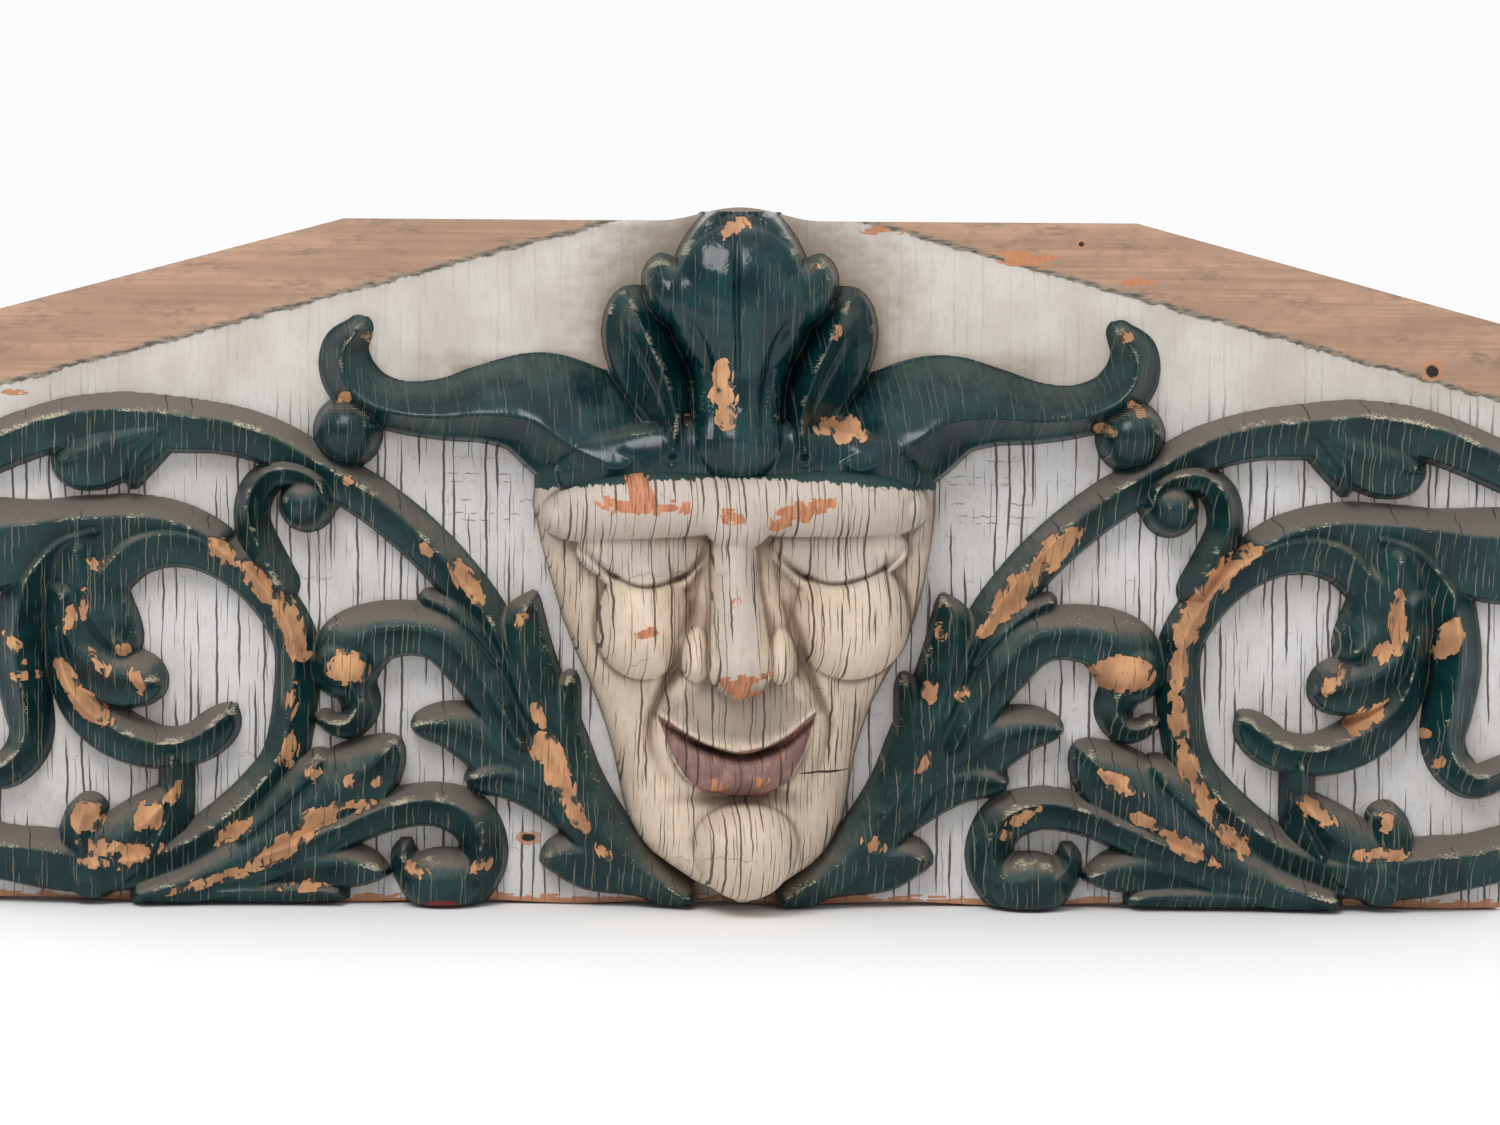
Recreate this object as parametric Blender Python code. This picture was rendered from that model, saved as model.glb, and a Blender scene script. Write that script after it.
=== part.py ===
"""Carved pine pediment panel: a raked board with scrollwork and a capped mask in high relief."""
import math

import bmesh
import bpy
import numpy as np

# Board. The frame's origin is on the flat back, at mid length and mid height.
PANEL_LENGTH = 1.028
PANEL_HEIGHT = 0.457
BOARD_THICKNESS = 0.030
TOP_LENGTH = 0.528
RAKE_ANGLE = math.radians(15.0)
PEAK_RISE = 0.009
PEAK_LENGTH = 0.110
EDGE_WEAR = 0.0012
EDGE_WAVES = 7

# Heights of the carving above the board's face
VINE_RELIEF = 0.027
LEAF_RELIEF = 0.023
CURL_RELIEF = 0.031
HORN_RELIEF = 0.048
CAP_RELIEF = 0.066
MASK_RELIEF = 0.060
BROW_RELIEF = 0.084
CHEEK_RELIEF = 0.082
CHIN_RELIEF = 0.078
NOSE_RELIEF = 0.106

# Run of the side walls, depth below the board's face where they end, and filling of the valley
# where one form runs into another: crisp in the vines, softer in the leaves, softest on the mask
WALL_RUN = 0.004
SINK = 0.0015
CRISP_BLEND = 0.001
LEAF_BLEND = 0.005
SOFT_BLEND = 0.016

# How far a groove's sides run out, in its widths, and the least height it is cut in, in its depths
GROOVE_REACH = 3.0
GROOVE_FLOOR = 2.0

# Step of the carved surface and number of its triangles
CARVING_STEP = 0.002
PANEL_TRIANGLES = 9800
SHARP_ANGLE = math.radians(40.0)

# The carving is drawn on a sheet in millimetres, x from the centre line and z from the foot.
SHEET_LENGTH = 1028.0
SHEET_HEIGHT = 457.0
STATION_STEP = 4.0
LENGTH_SCALE = PANEL_LENGTH / SHEET_LENGTH
HEIGHT_SCALE = PANEL_HEIGHT / SHEET_HEIGHT

# Cross sections: shift of the crest to the upper side, share of the height left at the upper
# and at the lower edge, and bow of the upper and of the lower side
SECTIONS = {
    "vine": (0.33, 0.0, 0.62, 1.3, 1.8),
    "leaf": (0.10, 0.40, 0.66, 2.2, 2.2),
    "horn": (-0.30, 0.0, 0.30, 1.5, 1.3),
}

# Shares of a form's own height: a ball's top, drops from crest to edge, and the mask's squared
# height at its edge, with the bow of its section
BALL_TOP_SHARE = 1.1
BALL_DROP_SHARE = 0.7
BAND_DROP_SHARE = 0.22
FINIAL_DROP_SHARE = 0.34
MASK_EDGE_SHARE = 0.12
MASK_EDGE_BOW = 2.8

# Ribbons of the scrollwork: stations of x, z and half width, drawn once and mirrored
UPPER_VINE = [(530, 289, 14), (466, 316, 15), (420, 324, 16), (380, 321, 17), (346, 318, 15),
              (318, 311, 14), (291, 298, 13), (241, 268, 13), (198, 230, 13), (164, 185, 12),
              (141, 129, 10)]
UPPER_LEAF = [(388, 313, 12), (407, 307, 17), (424, 300, 20), (437, 296, 18), (445, 294, 11)]
UPPER_LEAF_TOE = [(390, 308, 10), (399, 298, 10), (403, 289, 7), (404, 281, 3)]
SMALL_CURL = [(308, 213, 12), (318, 236, 10), (325, 256, 9), (322, 275, 9), (310, 287, 8),
              (294, 288, 8), (280, 281, 8), (275, 270, 7)]
HEAVY_STEM = [(530, 238, 32), (494, 240, 29), (466, 246, 22), (436, 250, 21), (400, 251, 21),
              (372, 248, 18), (350, 240, 14)]
RING = [(421, 219, 14), (404, 235, 15), (381, 242, 15), (356, 238, 14), (331, 224, 13),
        (311, 203, 12), (297, 178, 12), (295, 148, 12), (302, 102, 12), (316, 77, 14), (338, 55, 15),
        (364, 38, 14), (396, 26, 14), (425, 24, 16), (456, 28, 19), (492, 33, 17), (530, 42, 17)]
OUTER_TENDRIL = [(428, 246, 10), (452, 236, 11), (472, 212, 14), (478, 190, 15), (480, 162, 15),
                 (476, 134, 14), (473, 113, 12), (480, 96, 11), (496, 87, 10), (522, 97, 8)]
RING_HOOK = [(452, 184, 9), (449, 157, 10), (439, 134, 13), (421, 117, 15), (400, 107, 14),
             (380, 104, 12), (361, 108, 12), (348, 117, 11), (341, 126, 5)]
RING_LEAF = [(448, 205, 12), (446, 184, 15), (436, 165, 17), (418, 152, 18), (402, 149, 16), (394, 147, 10)]
RING_LEAF_TOE = [(440, 234, 15), (434, 210, 20), (428, 192, 22), (419, 178, 18), (412, 172, 9)]
BUD_STALK = [(376, 97, 9), (376, 77, 9), (378, 57, 10), (388, 35, 12)]
BUD_INNER = [(432, 18, 15), (415, 34, 20), (399, 48, 18), (385, 62, 12), (375, 75, 4)]
BUD_OUTER = [(430, 20, 15), (437, 40, 14), (437, 52, 12), (434, 60, 9)]
FOOT_LEAF = [(396, 5, 8), (356, 16, 14), (316, 36, 21), (286, 57, 25), (259, 79, 24), (241, 94, 15),
             (230, 106, 4)]
FOOT_LEAF_TOE = [(326, 45, 10), (303, 66, 14), (288, 81, 13), (280, 92, 8)]
FOOT_CURL = [(326, 26, 10), (291, 38, 12), (258, 52, 11), (231, 63, 12), (204, 67, 13), (182, 60, 14),
             (171, 44, 13), (172, 26, 14), (183, 12, 15), (199, 9, 15), (214, 17, 11), (222, 29, 7),
             (222, 38, 3)]
LOW_LEAF = [(396, 7, 6), (346, 12, 10), (306, 20, 15), (276, 25, 15), (254, 24, 11), (237, 21, 3)]
LOW_LEAF_TOE = [(346, 6, 6), (306, 7, 8), (281, 7, 6), (267, 6, 4)]
COMMA_CURL = [(146, 109, 12), (159, 134, 14), (176, 159, 16), (196, 179, 16), (218, 184, 15),
              (241, 181, 17), (257, 171, 21), (263, 159, 20)]
COMMA_TAIL = [(258, 148, 12), (252, 133, 10), (258, 121, 8), (268, 120, 6), (276, 124, 4)]
COMMA_LOBE = [(161, 164, 8), (176, 182, 10), (193, 196, 9), (206, 204, 4)]
MASK_LEAF = [(36, 5, 10), (66, 24, 13), (91, 49, 17), (111, 79, 19), (124, 109, 20), (136, 139, 19),
             (143, 169, 16), (143, 189, 11), (138, 204, 3)]
MASK_LEAF_TOE = [(116, 109, 8), (116, 129, 8), (114, 144, 6), (112, 151, 3)]
SIDE_LEAF = [(126, 84, 14), (151, 97, 20), (171, 111, 18), (191, 119, 13), (206, 120, 8), (215, 119, 2)]
SIDE_LEAF_TOE = [(111, 59, 10), (131, 77, 14), (151, 85, 13), (166, 85, 10), (175, 84, 5)]
CHIN_LEAF = [(46, 10, 6), (71, 20, 12), (96, 28, 17), (114, 32, 12), (128, 30, 3)]

# Ribbons of the cap: stations of x, z, half width and share of the form's relief
CAP_HORN = [(254, 384, 7, 0.44), (263, 370, 13, 0.54), (260, 353, 16, 0.62), (246, 340, 16, 0.68),
            (224, 333, 16, 0.72), (196, 332, 19, 0.80), (166, 336, 25, 0.92), (136, 335, 33, 1.08),
            (108, 320, 40, 1.22), (80, 306, 42, 1.34)]
CAP_BAND = [(-108, 290, 14, 0.84), (-90, 294, 20, 0.94), (-45, 298, 25, 1.0), (0, 298, 26, 1.0),
            (45, 298, 25, 1.0), (90, 294, 20, 0.94), (106, 290, 14, 0.84)]
CAP_LEAF = [(43, 306, 20, 1.10), (42, 324, 19, 1.04), (49, 346, 23, 0.98), (57, 364, 26, 0.95),
            (63, 378, 25, 0.90), (67, 388, 21, 0.84), (70, 396, 15, 0.76), (72, 402, 7, 0.66)]
FINIAL = [(0, 314, 28, 1.16), (0, 335, 28, 1.06), (0, 358, 30, 1.0), (0, 376, 35, 1.02),
          (0, 390, 42, 1.05), (0, 402, 46, 1.07), (0, 412, 42, 1.05)]
FINIAL_CREST = [(0, 398, 44, 1.07), (0, 416, 43, 1.08), (0, 430, 36, 1.0), (0, 441, 27, 0.88),
                (0, 450, 18, 0.72), (0, 457, 10, 0.56), (0, 463, 4, 0.42)]
FINIAL_LOBE = [(35, 400, 16, 0.98), (43, 408, 17, 0.98), (50, 418, 12, 0.90), (53, 428, 5, 0.76)]

# Balls of the scrollwork and the bells of the cap: x, z, radius across and radius up
BALLS = [(288, 267, 16, 16), (196, 14, 27, 20), (261, 161, 20, 18), (261, 315, 20, 21)]

# Mask: stations of z, left edge, right edge and share of the relief at the middle
MASK_OUTLINE = [(6, -2, 11, 0.72), (11, -11, 20, 0.80), (18, -29, 34, 0.86), (28, -44, 49, 0.88),
                (36, -55, 57, 0.88), (45, -63, 62, 0.86), (59, -70, 68, 0.84), (75, -74, 71, 0.84),
                (100, -79, 75, 0.86), (118, -84, 80, 0.90), (135, -90, 86, 0.94), (152, -97, 95, 0.94),
                (172, -106, 106, 0.92), (192, -114, 115, 0.88), (216, -121, 121, 0.84),
                (240, -128, 125, 0.84), (255, -131, 127, 0.95), (267, -134, 128, 1.06),
                (291, -132, 128, 1.06), (304, -126, 124, 0.95)]

# Domes of the mask: x, z, radius across, upward and downward, top and drop as shares of the relief
CHEEKS = [(-61, 186, 32, 50, 32, 1.02, 0.52), (74, 190, 38, 51, 35, 1.03, 0.52)]
CHINS = [(6, 45, 34, 29, 37, 1.05, 0.48)]
NOSE_DOMES = [(2, 163, 21, 28, 18, 1.0, 0.36), (-26, 167, 11, 24, 13, 0.80, 0.26),
              (28, 166, 11, 24, 13, 0.80, 0.26)]
BROW_DOMES = [(0, 259, 22, 22, 17, 1.05, 0.22)]
LID_DOMES = [(-62, 240, 44, 24, 23, 1.04, 0.24), (66, 241, 45, 24, 22, 1.06, 0.24)]
LIP_DOMES = [(1, 136, 47, 38, 28, 1.20, 0.34)]

# Rolls of the mask: stations of x, z, half width and share of the form's relief, then their drop
BROW = ([(-116, 262, 14, 0.70), (-104, 264, 19, 0.80), (-80, 269, 22, 0.92), (-50, 271, 22, 0.99),
         (-20, 271, 20, 0.99), (16, 271, 20, 0.99), (50, 272, 22, 0.99), (82, 272, 22, 0.93),
         (102, 270, 19, 0.82), (112, 269, 14, 0.72)], 0.27)
NOSE_RIDGE = ([(-2, 252, 15, 0.76), (-2, 226, 15, 0.80), (0, 200, 17, 0.90), (2, 172, 20, 0.98)], 0.24)
NOSE_SIDES = ([(0, 236, 22, 0.58), (0, 208, 27, 0.63), (1, 187, 32, 0.65)], 0.18)
LOWER_LIDS = ([(-94, 230, 3, 0.88), (-80, 218, 5, 0.94), (-61, 212, 6, 0.98), (-40, 216, 5, 0.96),
               (-28, 228, 3, 0.90)],
              [(31, 228, 3, 0.90), (47, 217, 5, 0.96), (67, 213, 6, 0.98), (88, 219, 5, 0.94),
               (100, 230, 3, 0.86)])
LID_DROP_SHARE = 0.14
LIPS = ([(-38, 113, 8, 1.02), (-24, 98, 12, 1.12), (2, 92, 13, 1.18), (24, 97, 12, 1.14),
         (40, 115, 8, 1.02)],
        [(-49, 131, 4, 0.98), (-25, 120, 6, 1.12), (2, 113, 6, 1.20), (26, 120, 6, 1.15),
         (50, 134, 4, 0.98)])
LIP_DROP_SHARE = 0.15

# Grooves: points of x and z, then width and depth, in millimetres of the sheet
MASK_GROOVES = [
    ([(-54, 131), (-40, 121), (-26, 113), (2, 105), (26, 111), (40, 120), (54, 134)], 2.2, 11.0),
    ([(-40, 72), (-18, 77), (4, 80), (24, 79), (46, 73)], 5.0, 10.0),
    ([(-106, 243), (-98, 237), (-81, 223), (-60, 217), (-36, 223), (-26, 234), (-22, 241)], 1.8, 8.0),
    ([(24, 241), (29, 235), (46, 223), (66, 220), (91, 227), (104, 237), (110, 243)], 1.8, 8.0),
    ([(-28, 204), (-40, 182), (-42, 164), (-51, 144), (-58, 122), (-54, 98), (-46, 82)], 3.6, 9.0),
    ([(31, 204), (43, 182), (45, 165), (53, 146), (61, 124), (56, 98), (50, 82)], 3.6, 9.0),
]
CAP_GROOVES = [
    ([(-2, 450), (-2, 430), (-2, 400), (-1, 365), (-1, 335)], 2.2, 4.0),
    ([(38, 396), (28, 384), (20, 364), (16, 335), (17, 305)], 3.4, 4.0),
    ([(-38, 396), (-28, 384), (-20, 364), (-16, 335), (-17, 305)], 3.4, 4.0),
    ([(74, 390), (66, 374), (54, 350), (46, 326), (44, 300)], 2.8, 6.0),
    ([(-74, 390), (-66, 374), (-54, 350), (-46, 326), (-44, 300)], 2.8, 6.0),
]


def smooth_path(stations):
    """A Catmull-Rom path through the stations, stepped evenly."""
    points = np.array(stations, dtype=float)
    padded = np.vstack([2 * points[0] - points[1], points, 2 * points[-1] - points[-2]])
    path = []
    for i in range(1, len(padded) - 2):
        p0, p1, p2, p3 = padded[i - 1:i + 3]
        steps = max(2, round(math.dist(p1[:2], p2[:2]) / STATION_STEP))
        for t in np.arange(steps) / steps:
            path.append(p1 + 0.5 * t * (p2 - p0 + t * (2 * p0 - 5 * p1 + 4 * p2 - p3
                                                       + t * (3 * (p1 - p2) + p3 - p0))))
    path.append(padded[-2])
    return np.array(path)


def nearest_on_path(x, z, path):
    """For each point: distance in half widths, signed side, upward share of the side, and values."""
    best = np.full(x.shape, np.inf)
    side = np.zeros(x.shape)
    lean = np.zeros(x.shape)
    width = np.ones(x.shape)
    share = np.ones(x.shape)
    for start, end in zip(path[:-1], path[1:]):
        run = end[:2] - start[:2]
        length = max(np.hypot(*run), 1e-6)
        along = np.clip(((x - start[0]) * run[0] + (z - start[1]) * run[1]) / length ** 2, 0.0, 1.0)
        off_x = x - start[0] - along * run[0]
        off_z = z - start[1] - along * run[1]
        half = start[2] + along * (end[2] - start[2])
        away = np.hypot(off_x, off_z) / half
        across = (off_z * run[0] - off_x * run[1]) / length
        upward = run[0] / length
        closer = away < best
        best = np.where(closer, away, best)
        side = np.where(closer, np.sign(across) * away, side)
        lean = np.where(closer, upward, lean)
        width = np.where(closer, half, width)
        share = np.where(closer, start[3] + along * (end[3] - start[3]), share)
    return best, side, lean, width, share


def near(x, z, points, reach):
    """The sheet points that lie within reach of the given stations."""
    low = points[:, :2].min(axis=0) - reach
    high = points[:, :2].max(axis=0) + reach
    return (x > low[0]) & (x < high[0]) & (z > low[1]) & (z < high[1])


def joined(height, body, past, blend):
    """Height raised to a form that falls below the board over the wall's run past its edge."""
    wall = np.clip(past * LENGTH_SCALE / WALL_RUN, 0.0, None)
    form = body - wall * (body + SINK)
    near_equal = np.clip(blend - np.abs(height - form), 0.0, None)
    valley = np.where(np.minimum(height, form) > blend, near_equal ** 2 / (4 * blend), 0.0)
    return np.maximum(height, form) + valley


def raise_ribbon(height, x, z, stations, relief, section=None, drop=0.0, blend=CRISP_BLEND):
    """Raises a ribbon of the named section, or a roll whose sides stop drop below its crest."""
    path = smooth_path([station if len(station) == 4 else (*station, 1.0) for station in stations])
    path[:, 2] = np.maximum(path[:, 2], 1.0)
    inside = near(x, z, path, path[:, 2].max() + WALL_RUN / LENGTH_SCALE)
    away, side, lean, width, share = nearest_on_path(x[inside], z[inside], path)
    if section:
        crest, upper_edge, lower_edge, upper_bow, lower_bow = SECTIONS[section]
        middle = crest * lean
        rises = side > middle
        q = np.clip(np.where(rises, (side - middle) / (1 - middle), (middle - side) / (1 + middle)), 0, 1)
        up = (1 + np.where(rises, lean, -lean)) / 2
        edge = lower_edge + (upper_edge - lower_edge) * up
        fall = up * q ** upper_bow + (1 - up) * (1 - (1 - q) ** lower_bow)
        body = relief * share * (1 - (1 - edge) * fall)
    else:
        body = relief * share - drop * (1 - np.sqrt(1 - np.clip(away, 0, 1) ** 2))
    height[inside] = joined(height[inside], body, (away - 1) * width, blend)


def raise_dome(height, x, z, centre, radii, top, drop, blend=CRISP_BLEND):
    """Raises a dome with its radii across, upward and downward; its rim stands drop below its top.

    Its lower side meets the other forms crisply and the rest with the given blend.
    """
    across, upward, downward = radii
    up = z - centre[1]
    away = np.hypot((x - centre[0]) / across, up / np.where(up > 0, upward, downward))
    body = top - drop * (1 - np.sqrt(1 - np.clip(away, 0, 1) ** 2))
    upper_share = np.clip(1 + up / downward, 0, 1)
    height[:] = joined(height, body, (away - 1) * across, CRISP_BLEND + (blend - CRISP_BLEND) * upper_share)


def raise_ball(height, x, z, centre, radii):
    """Raises a ball of the scrollwork."""
    raise_dome(height, x, z, centre, radii, BALL_TOP_SHARE * CURL_RELIEF, BALL_DROP_SHARE * CURL_RELIEF)


def raise_mask(height, x, z):
    """Raises the rounded base of the mask inside its outline."""
    table = np.array(MASK_OUTLINE, dtype=float)
    left = np.interp(z, table[:, 0], table[:, 1])
    right = np.interp(z, table[:, 0], table[:, 2])
    share = np.interp(z, table[:, 0], table[:, 3])
    half = (right - left) / 2
    across = np.abs(x - (left + right) / 2) / half
    body = MASK_RELIEF * share * np.sqrt(1 - (1 - MASK_EDGE_SHARE) * np.clip(across, 0, 1) ** MASK_EDGE_BOW)
    past = np.maximum.reduce([(across - 1) * half, table[0, 0] - z, z - table[-1, 0]])
    height[:] = joined(height, body, past, CRISP_BLEND)


def cut_groove(height, x, z, points, width, depth):
    """Cuts a round-bottomed groove along the points, shallower towards its ends."""
    tapers = np.sin(math.pi * (np.arange(len(points)) + 0.5) / len(points))
    path = smooth_path([(px, pz, width, taper) for (px, pz), taper in zip(points, tapers)])
    inside = near(x, z, path, GROOVE_REACH * width)
    away, _, _, _, taper = nearest_on_path(x[inside], z[inside], path)
    deep = depth * LENGTH_SCALE * taper
    height[inside] -= np.where(height[inside] > GROOVE_FLOOR * deep, deep * np.exp(-away ** 2), 0.0)


def raise_scrolls(height, x, z):
    """Raises the vines, leaves, curls and balls of one half; x is measured away from the centre line."""
    for stations in (UPPER_VINE, HEAVY_STEM, RING, OUTER_TENDRIL):
        raise_ribbon(height, x, z, stations, VINE_RELIEF, "vine")
    for stations in (UPPER_LEAF, UPPER_LEAF_TOE, LOW_LEAF, LOW_LEAF_TOE, SIDE_LEAF, SIDE_LEAF_TOE,
                     CHIN_LEAF, COMMA_LOBE, MASK_LEAF_TOE):
        raise_ribbon(height, x, z, stations, LEAF_RELIEF, "leaf", blend=LEAF_BLEND)
    for stations in (BUD_STALK, SMALL_CURL, FOOT_CURL, COMMA_TAIL, RING_HOOK):
        raise_ribbon(height, x, z, stations, CURL_RELIEF, "vine")
    for stations in (COMMA_CURL, RING_LEAF_TOE, RING_LEAF, BUD_INNER, BUD_OUTER, FOOT_LEAF, FOOT_LEAF_TOE,
                     MASK_LEAF):
        raise_ribbon(height, x, z, stations, CURL_RELIEF, "leaf", blend=LEAF_BLEND)
    for cx, cz, across, up in BALLS:
        raise_ball(height, x, z, (cx, cz), (across, up, up))


def raise_cap(height, x, z):
    """Raises the cap: its two horns, band, two side leaves and lobed finial."""
    away = np.abs(x)
    raise_ribbon(height, away, z, CAP_HORN, HORN_RELIEF, "horn")
    raise_ribbon(height, x, z, CAP_BAND, CAP_RELIEF, drop=BAND_DROP_SHARE * CAP_RELIEF, blend=SOFT_BLEND)
    raise_ribbon(height, away, z, CAP_LEAF, CAP_RELIEF, "vine", blend=SOFT_BLEND)
    finial_drop = FINIAL_DROP_SHARE * CAP_RELIEF
    for stations in (FINIAL, FINIAL_CREST):
        raise_ribbon(height, x, z, stations, CAP_RELIEF, drop=finial_drop, blend=SOFT_BLEND)
    raise_ribbon(height, away, z, FINIAL_LOBE, CAP_RELIEF, drop=finial_drop, blend=SOFT_BLEND)
    for points, width, depth in CAP_GROOVES:
        cut_groove(height, x, z, points, width, depth)


def raise_face(height, x, z):
    """Raises the mask and its nose, cheeks, chin, lids, lips and brow."""
    raise_mask(height, x, z)
    for (stations, drop), relief in ((NOSE_SIDES, NOSE_RELIEF), (NOSE_RIDGE, NOSE_RELIEF)):
        raise_ribbon(height, x, z, stations, relief, drop=drop * relief, blend=SOFT_BLEND)
    for domes, relief in ((LIP_DOMES, MASK_RELIEF), (CHINS, CHIN_RELIEF), (CHEEKS, CHEEK_RELIEF),
                          (LID_DOMES, MASK_RELIEF), (NOSE_DOMES, NOSE_RELIEF)):
        for cx, cz, across, up, down, top, drop in domes:
            raise_dome(height, x, z, (cx, cz), (across, up, down), top * relief, drop * relief, SOFT_BLEND)
    for rolls, drop in ((LOWER_LIDS, LID_DROP_SHARE), (LIPS, LIP_DROP_SHARE)):
        for stations in rolls:
            raise_ribbon(height, x, z, stations, MASK_RELIEF, drop=drop * MASK_RELIEF, blend=SOFT_BLEND / 3)
    raise_ribbon(height, x, z, BROW[0], BROW_RELIEF, drop=BROW[1] * BROW_RELIEF)
    for cx, cz, across, up, down, top, drop in BROW_DOMES:
        raise_dome(height, x, z, (cx, cz), (across, up, down), top * BROW_RELIEF, drop * BROW_RELIEF,
                   SOFT_BLEND / 2)
    for points, width, depth in MASK_GROOVES:
        cut_groove(height, x, z, points, width, depth)


def foot_of(x):
    """Height of the board's worn foot."""
    return -PANEL_HEIGHT / 2 + EDGE_WEAR * np.sin(math.tau * EDGE_WAVES * (x / PANEL_LENGTH + 0.5))


def top_of(x):
    """Height of the board's top: level, raked towards the ends, with a low rise for the finial."""
    away = np.abs(x)
    rake = np.clip(away - TOP_LENGTH / 2, 0.0, None) * math.tan(RAKE_ANGLE)
    rise = PEAK_RISE * (1 + np.cos(math.pi * np.clip(2 * away / PEAK_LENGTH, 0.0, 1.0))) / 2
    return PANEL_HEIGHT / 2 - rake + rise


def carving_height(x, z):
    """Height of the carving above the board's face, at points of the frame's x and z."""
    height = np.zeros(x.shape)
    sheet_x = x / LENGTH_SCALE
    sheet_z = (z + PANEL_HEIGHT / 2) / HEIGHT_SCALE
    raise_scrolls(height, np.abs(sheet_x), sheet_z)
    raise_cap(height, sheet_x, sheet_z)
    raise_face(height, sheet_x, sheet_z)
    return height


def remove_scene_objects():
    """Empties the scene."""
    for obj in list(bpy.data.objects):
        bpy.data.objects.remove(obj, do_unlink=True)


def make_material(name, colour, roughness):
    """A plain Principled material."""
    material = bpy.data.materials.new(name)
    material.use_nodes = True
    shader = material.node_tree.nodes["Principled BSDF"]
    shader.inputs["Base Color"].default_value = (*colour, 1.0)
    shader.inputs["Roughness"].default_value = roughness
    shader.inputs["Metallic"].default_value = 0.0
    return material


def column_places():
    """Places of the grid's columns along the panel, with one at each end of the level top."""
    half = PANEL_LENGTH / 2
    shoulder = TOP_LENGTH / 2
    raked = max(1, round((half - shoulder) / CARVING_STEP))
    level = max(1, round(TOP_LENGTH / CARVING_STEP))
    return np.concatenate([np.linspace(-half, -shoulder, raked + 1)[:-1],
                           np.linspace(-shoulder, shoulder, level + 1),
                           np.linspace(shoulder, half, raked + 1)[1:]])


def build_panel(bm):
    """A closed slab with a flat back, its front a grid between foot and top lifted to the carving."""
    columns = column_places()
    across = len(columns) - 1
    up = round(PANEL_HEIGHT / CARVING_STEP)
    grid = bmesh.ops.create_grid(bm, x_segments=across, y_segments=up, size=0.5)["verts"]
    x = np.tile(columns, up + 1)
    share = np.repeat(np.linspace(0.0, 1.0, up + 1), across + 1)
    z = foot_of(x) + share * (top_of(x) - foot_of(x))
    for vert, px, pz, lift in zip(grid, x, z, carving_height(x, z)):
        vert.co = (px, -BOARD_THICKNESS - lift, pz)
    row = across + 1
    rim = grid[:row] + grid[2 * row - 1::row] + grid[-2:-row - 1:-1] + grid[-2 * row:0:-row]
    back = [bm.verts.new((vert.co.x, 0.0, vert.co.z)) for vert in rim]
    for i in range(len(rim)):
        bm.faces.new((rim[i - 1], rim[i], back[i], back[i - 1]))
    bm.faces.new(back)
    bmesh.ops.recalc_face_normals(bm, faces=bm.faces)


def add_panel():
    """Adds the panel, its flat parts and slow curves thinned to few triangles."""
    bm = bmesh.new()
    build_panel(bm)
    mesh = bpy.data.meshes.new("carved_panel")
    bm.to_mesh(mesh)
    bm.free()
    panel = bpy.data.objects.new("carved_panel", mesh)
    bpy.context.scene.collection.objects.link(panel)
    mesh.materials.append(make_material("painted_pine", (0.66, 0.62, 0.57), 0.62))
    mesh.shade_smooth()
    mesh.set_sharp_from_angle(angle=SHARP_ANGLE)
    thin = panel.modifiers.new("Thin", "DECIMATE")
    triangles = sum(len(face.vertices) - 2 for face in mesh.polygons)
    thin.ratio = min(1.0, PANEL_TRIANGLES / triangles)


remove_scene_objects()
add_panel()
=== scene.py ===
"""Dresses the carved pine pediment panel: board, scrollwork, cap and mask in cracked old paint."""
import math

import bmesh
import bpy
import numpy as np
from mathutils import Matrix, Vector


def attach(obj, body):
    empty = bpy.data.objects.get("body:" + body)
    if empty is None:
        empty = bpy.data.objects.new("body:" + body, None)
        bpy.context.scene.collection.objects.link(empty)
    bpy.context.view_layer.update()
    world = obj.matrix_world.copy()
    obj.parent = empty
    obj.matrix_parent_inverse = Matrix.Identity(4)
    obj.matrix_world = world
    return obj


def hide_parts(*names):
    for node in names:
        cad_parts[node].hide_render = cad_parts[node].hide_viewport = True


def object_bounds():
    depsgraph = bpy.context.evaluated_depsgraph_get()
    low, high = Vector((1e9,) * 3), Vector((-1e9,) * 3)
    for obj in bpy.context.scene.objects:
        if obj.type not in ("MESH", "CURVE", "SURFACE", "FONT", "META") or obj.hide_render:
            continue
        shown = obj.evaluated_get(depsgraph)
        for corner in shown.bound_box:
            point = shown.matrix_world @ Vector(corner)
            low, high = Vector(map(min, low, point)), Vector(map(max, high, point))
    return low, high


bl_info = {
    "name": "Carved pediment panel",
    "version": (1, 0, 0),
    "blender": (4, 5, 0),
    "location": "3D View > Sidebar > Pediment",
    "description": "Models and paints a carved pine pediment panel with scrollwork and a capped mask",
    "category": "Object",
}

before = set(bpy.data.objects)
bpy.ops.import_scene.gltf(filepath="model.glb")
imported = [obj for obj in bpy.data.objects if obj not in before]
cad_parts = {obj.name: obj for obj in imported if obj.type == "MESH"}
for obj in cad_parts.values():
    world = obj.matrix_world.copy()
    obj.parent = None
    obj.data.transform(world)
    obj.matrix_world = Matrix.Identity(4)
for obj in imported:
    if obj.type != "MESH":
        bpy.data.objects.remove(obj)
CAD_LOW, CAD_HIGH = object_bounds()

NODE = "carved_panel"
BODY = "root"

# Lamps: name, power, size and place; the room's white in front and how much brighter it is elsewhere
LAMPS = [("key", 44, 1.3, (-0.8, -1.9, 2.2)), ("fill", 8, 2.0, (1.9, -2.4, 1.1))]
ROOM_STRENGTH = 0.42
ROOM_GAIN = 0.55

# Floor: half its side, gap below the panel's foot and grey level
FLOOR_SIZE = 6.0
FLOOR_GAP = 0.0005
FLOOR_GREY = 0.93

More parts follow.
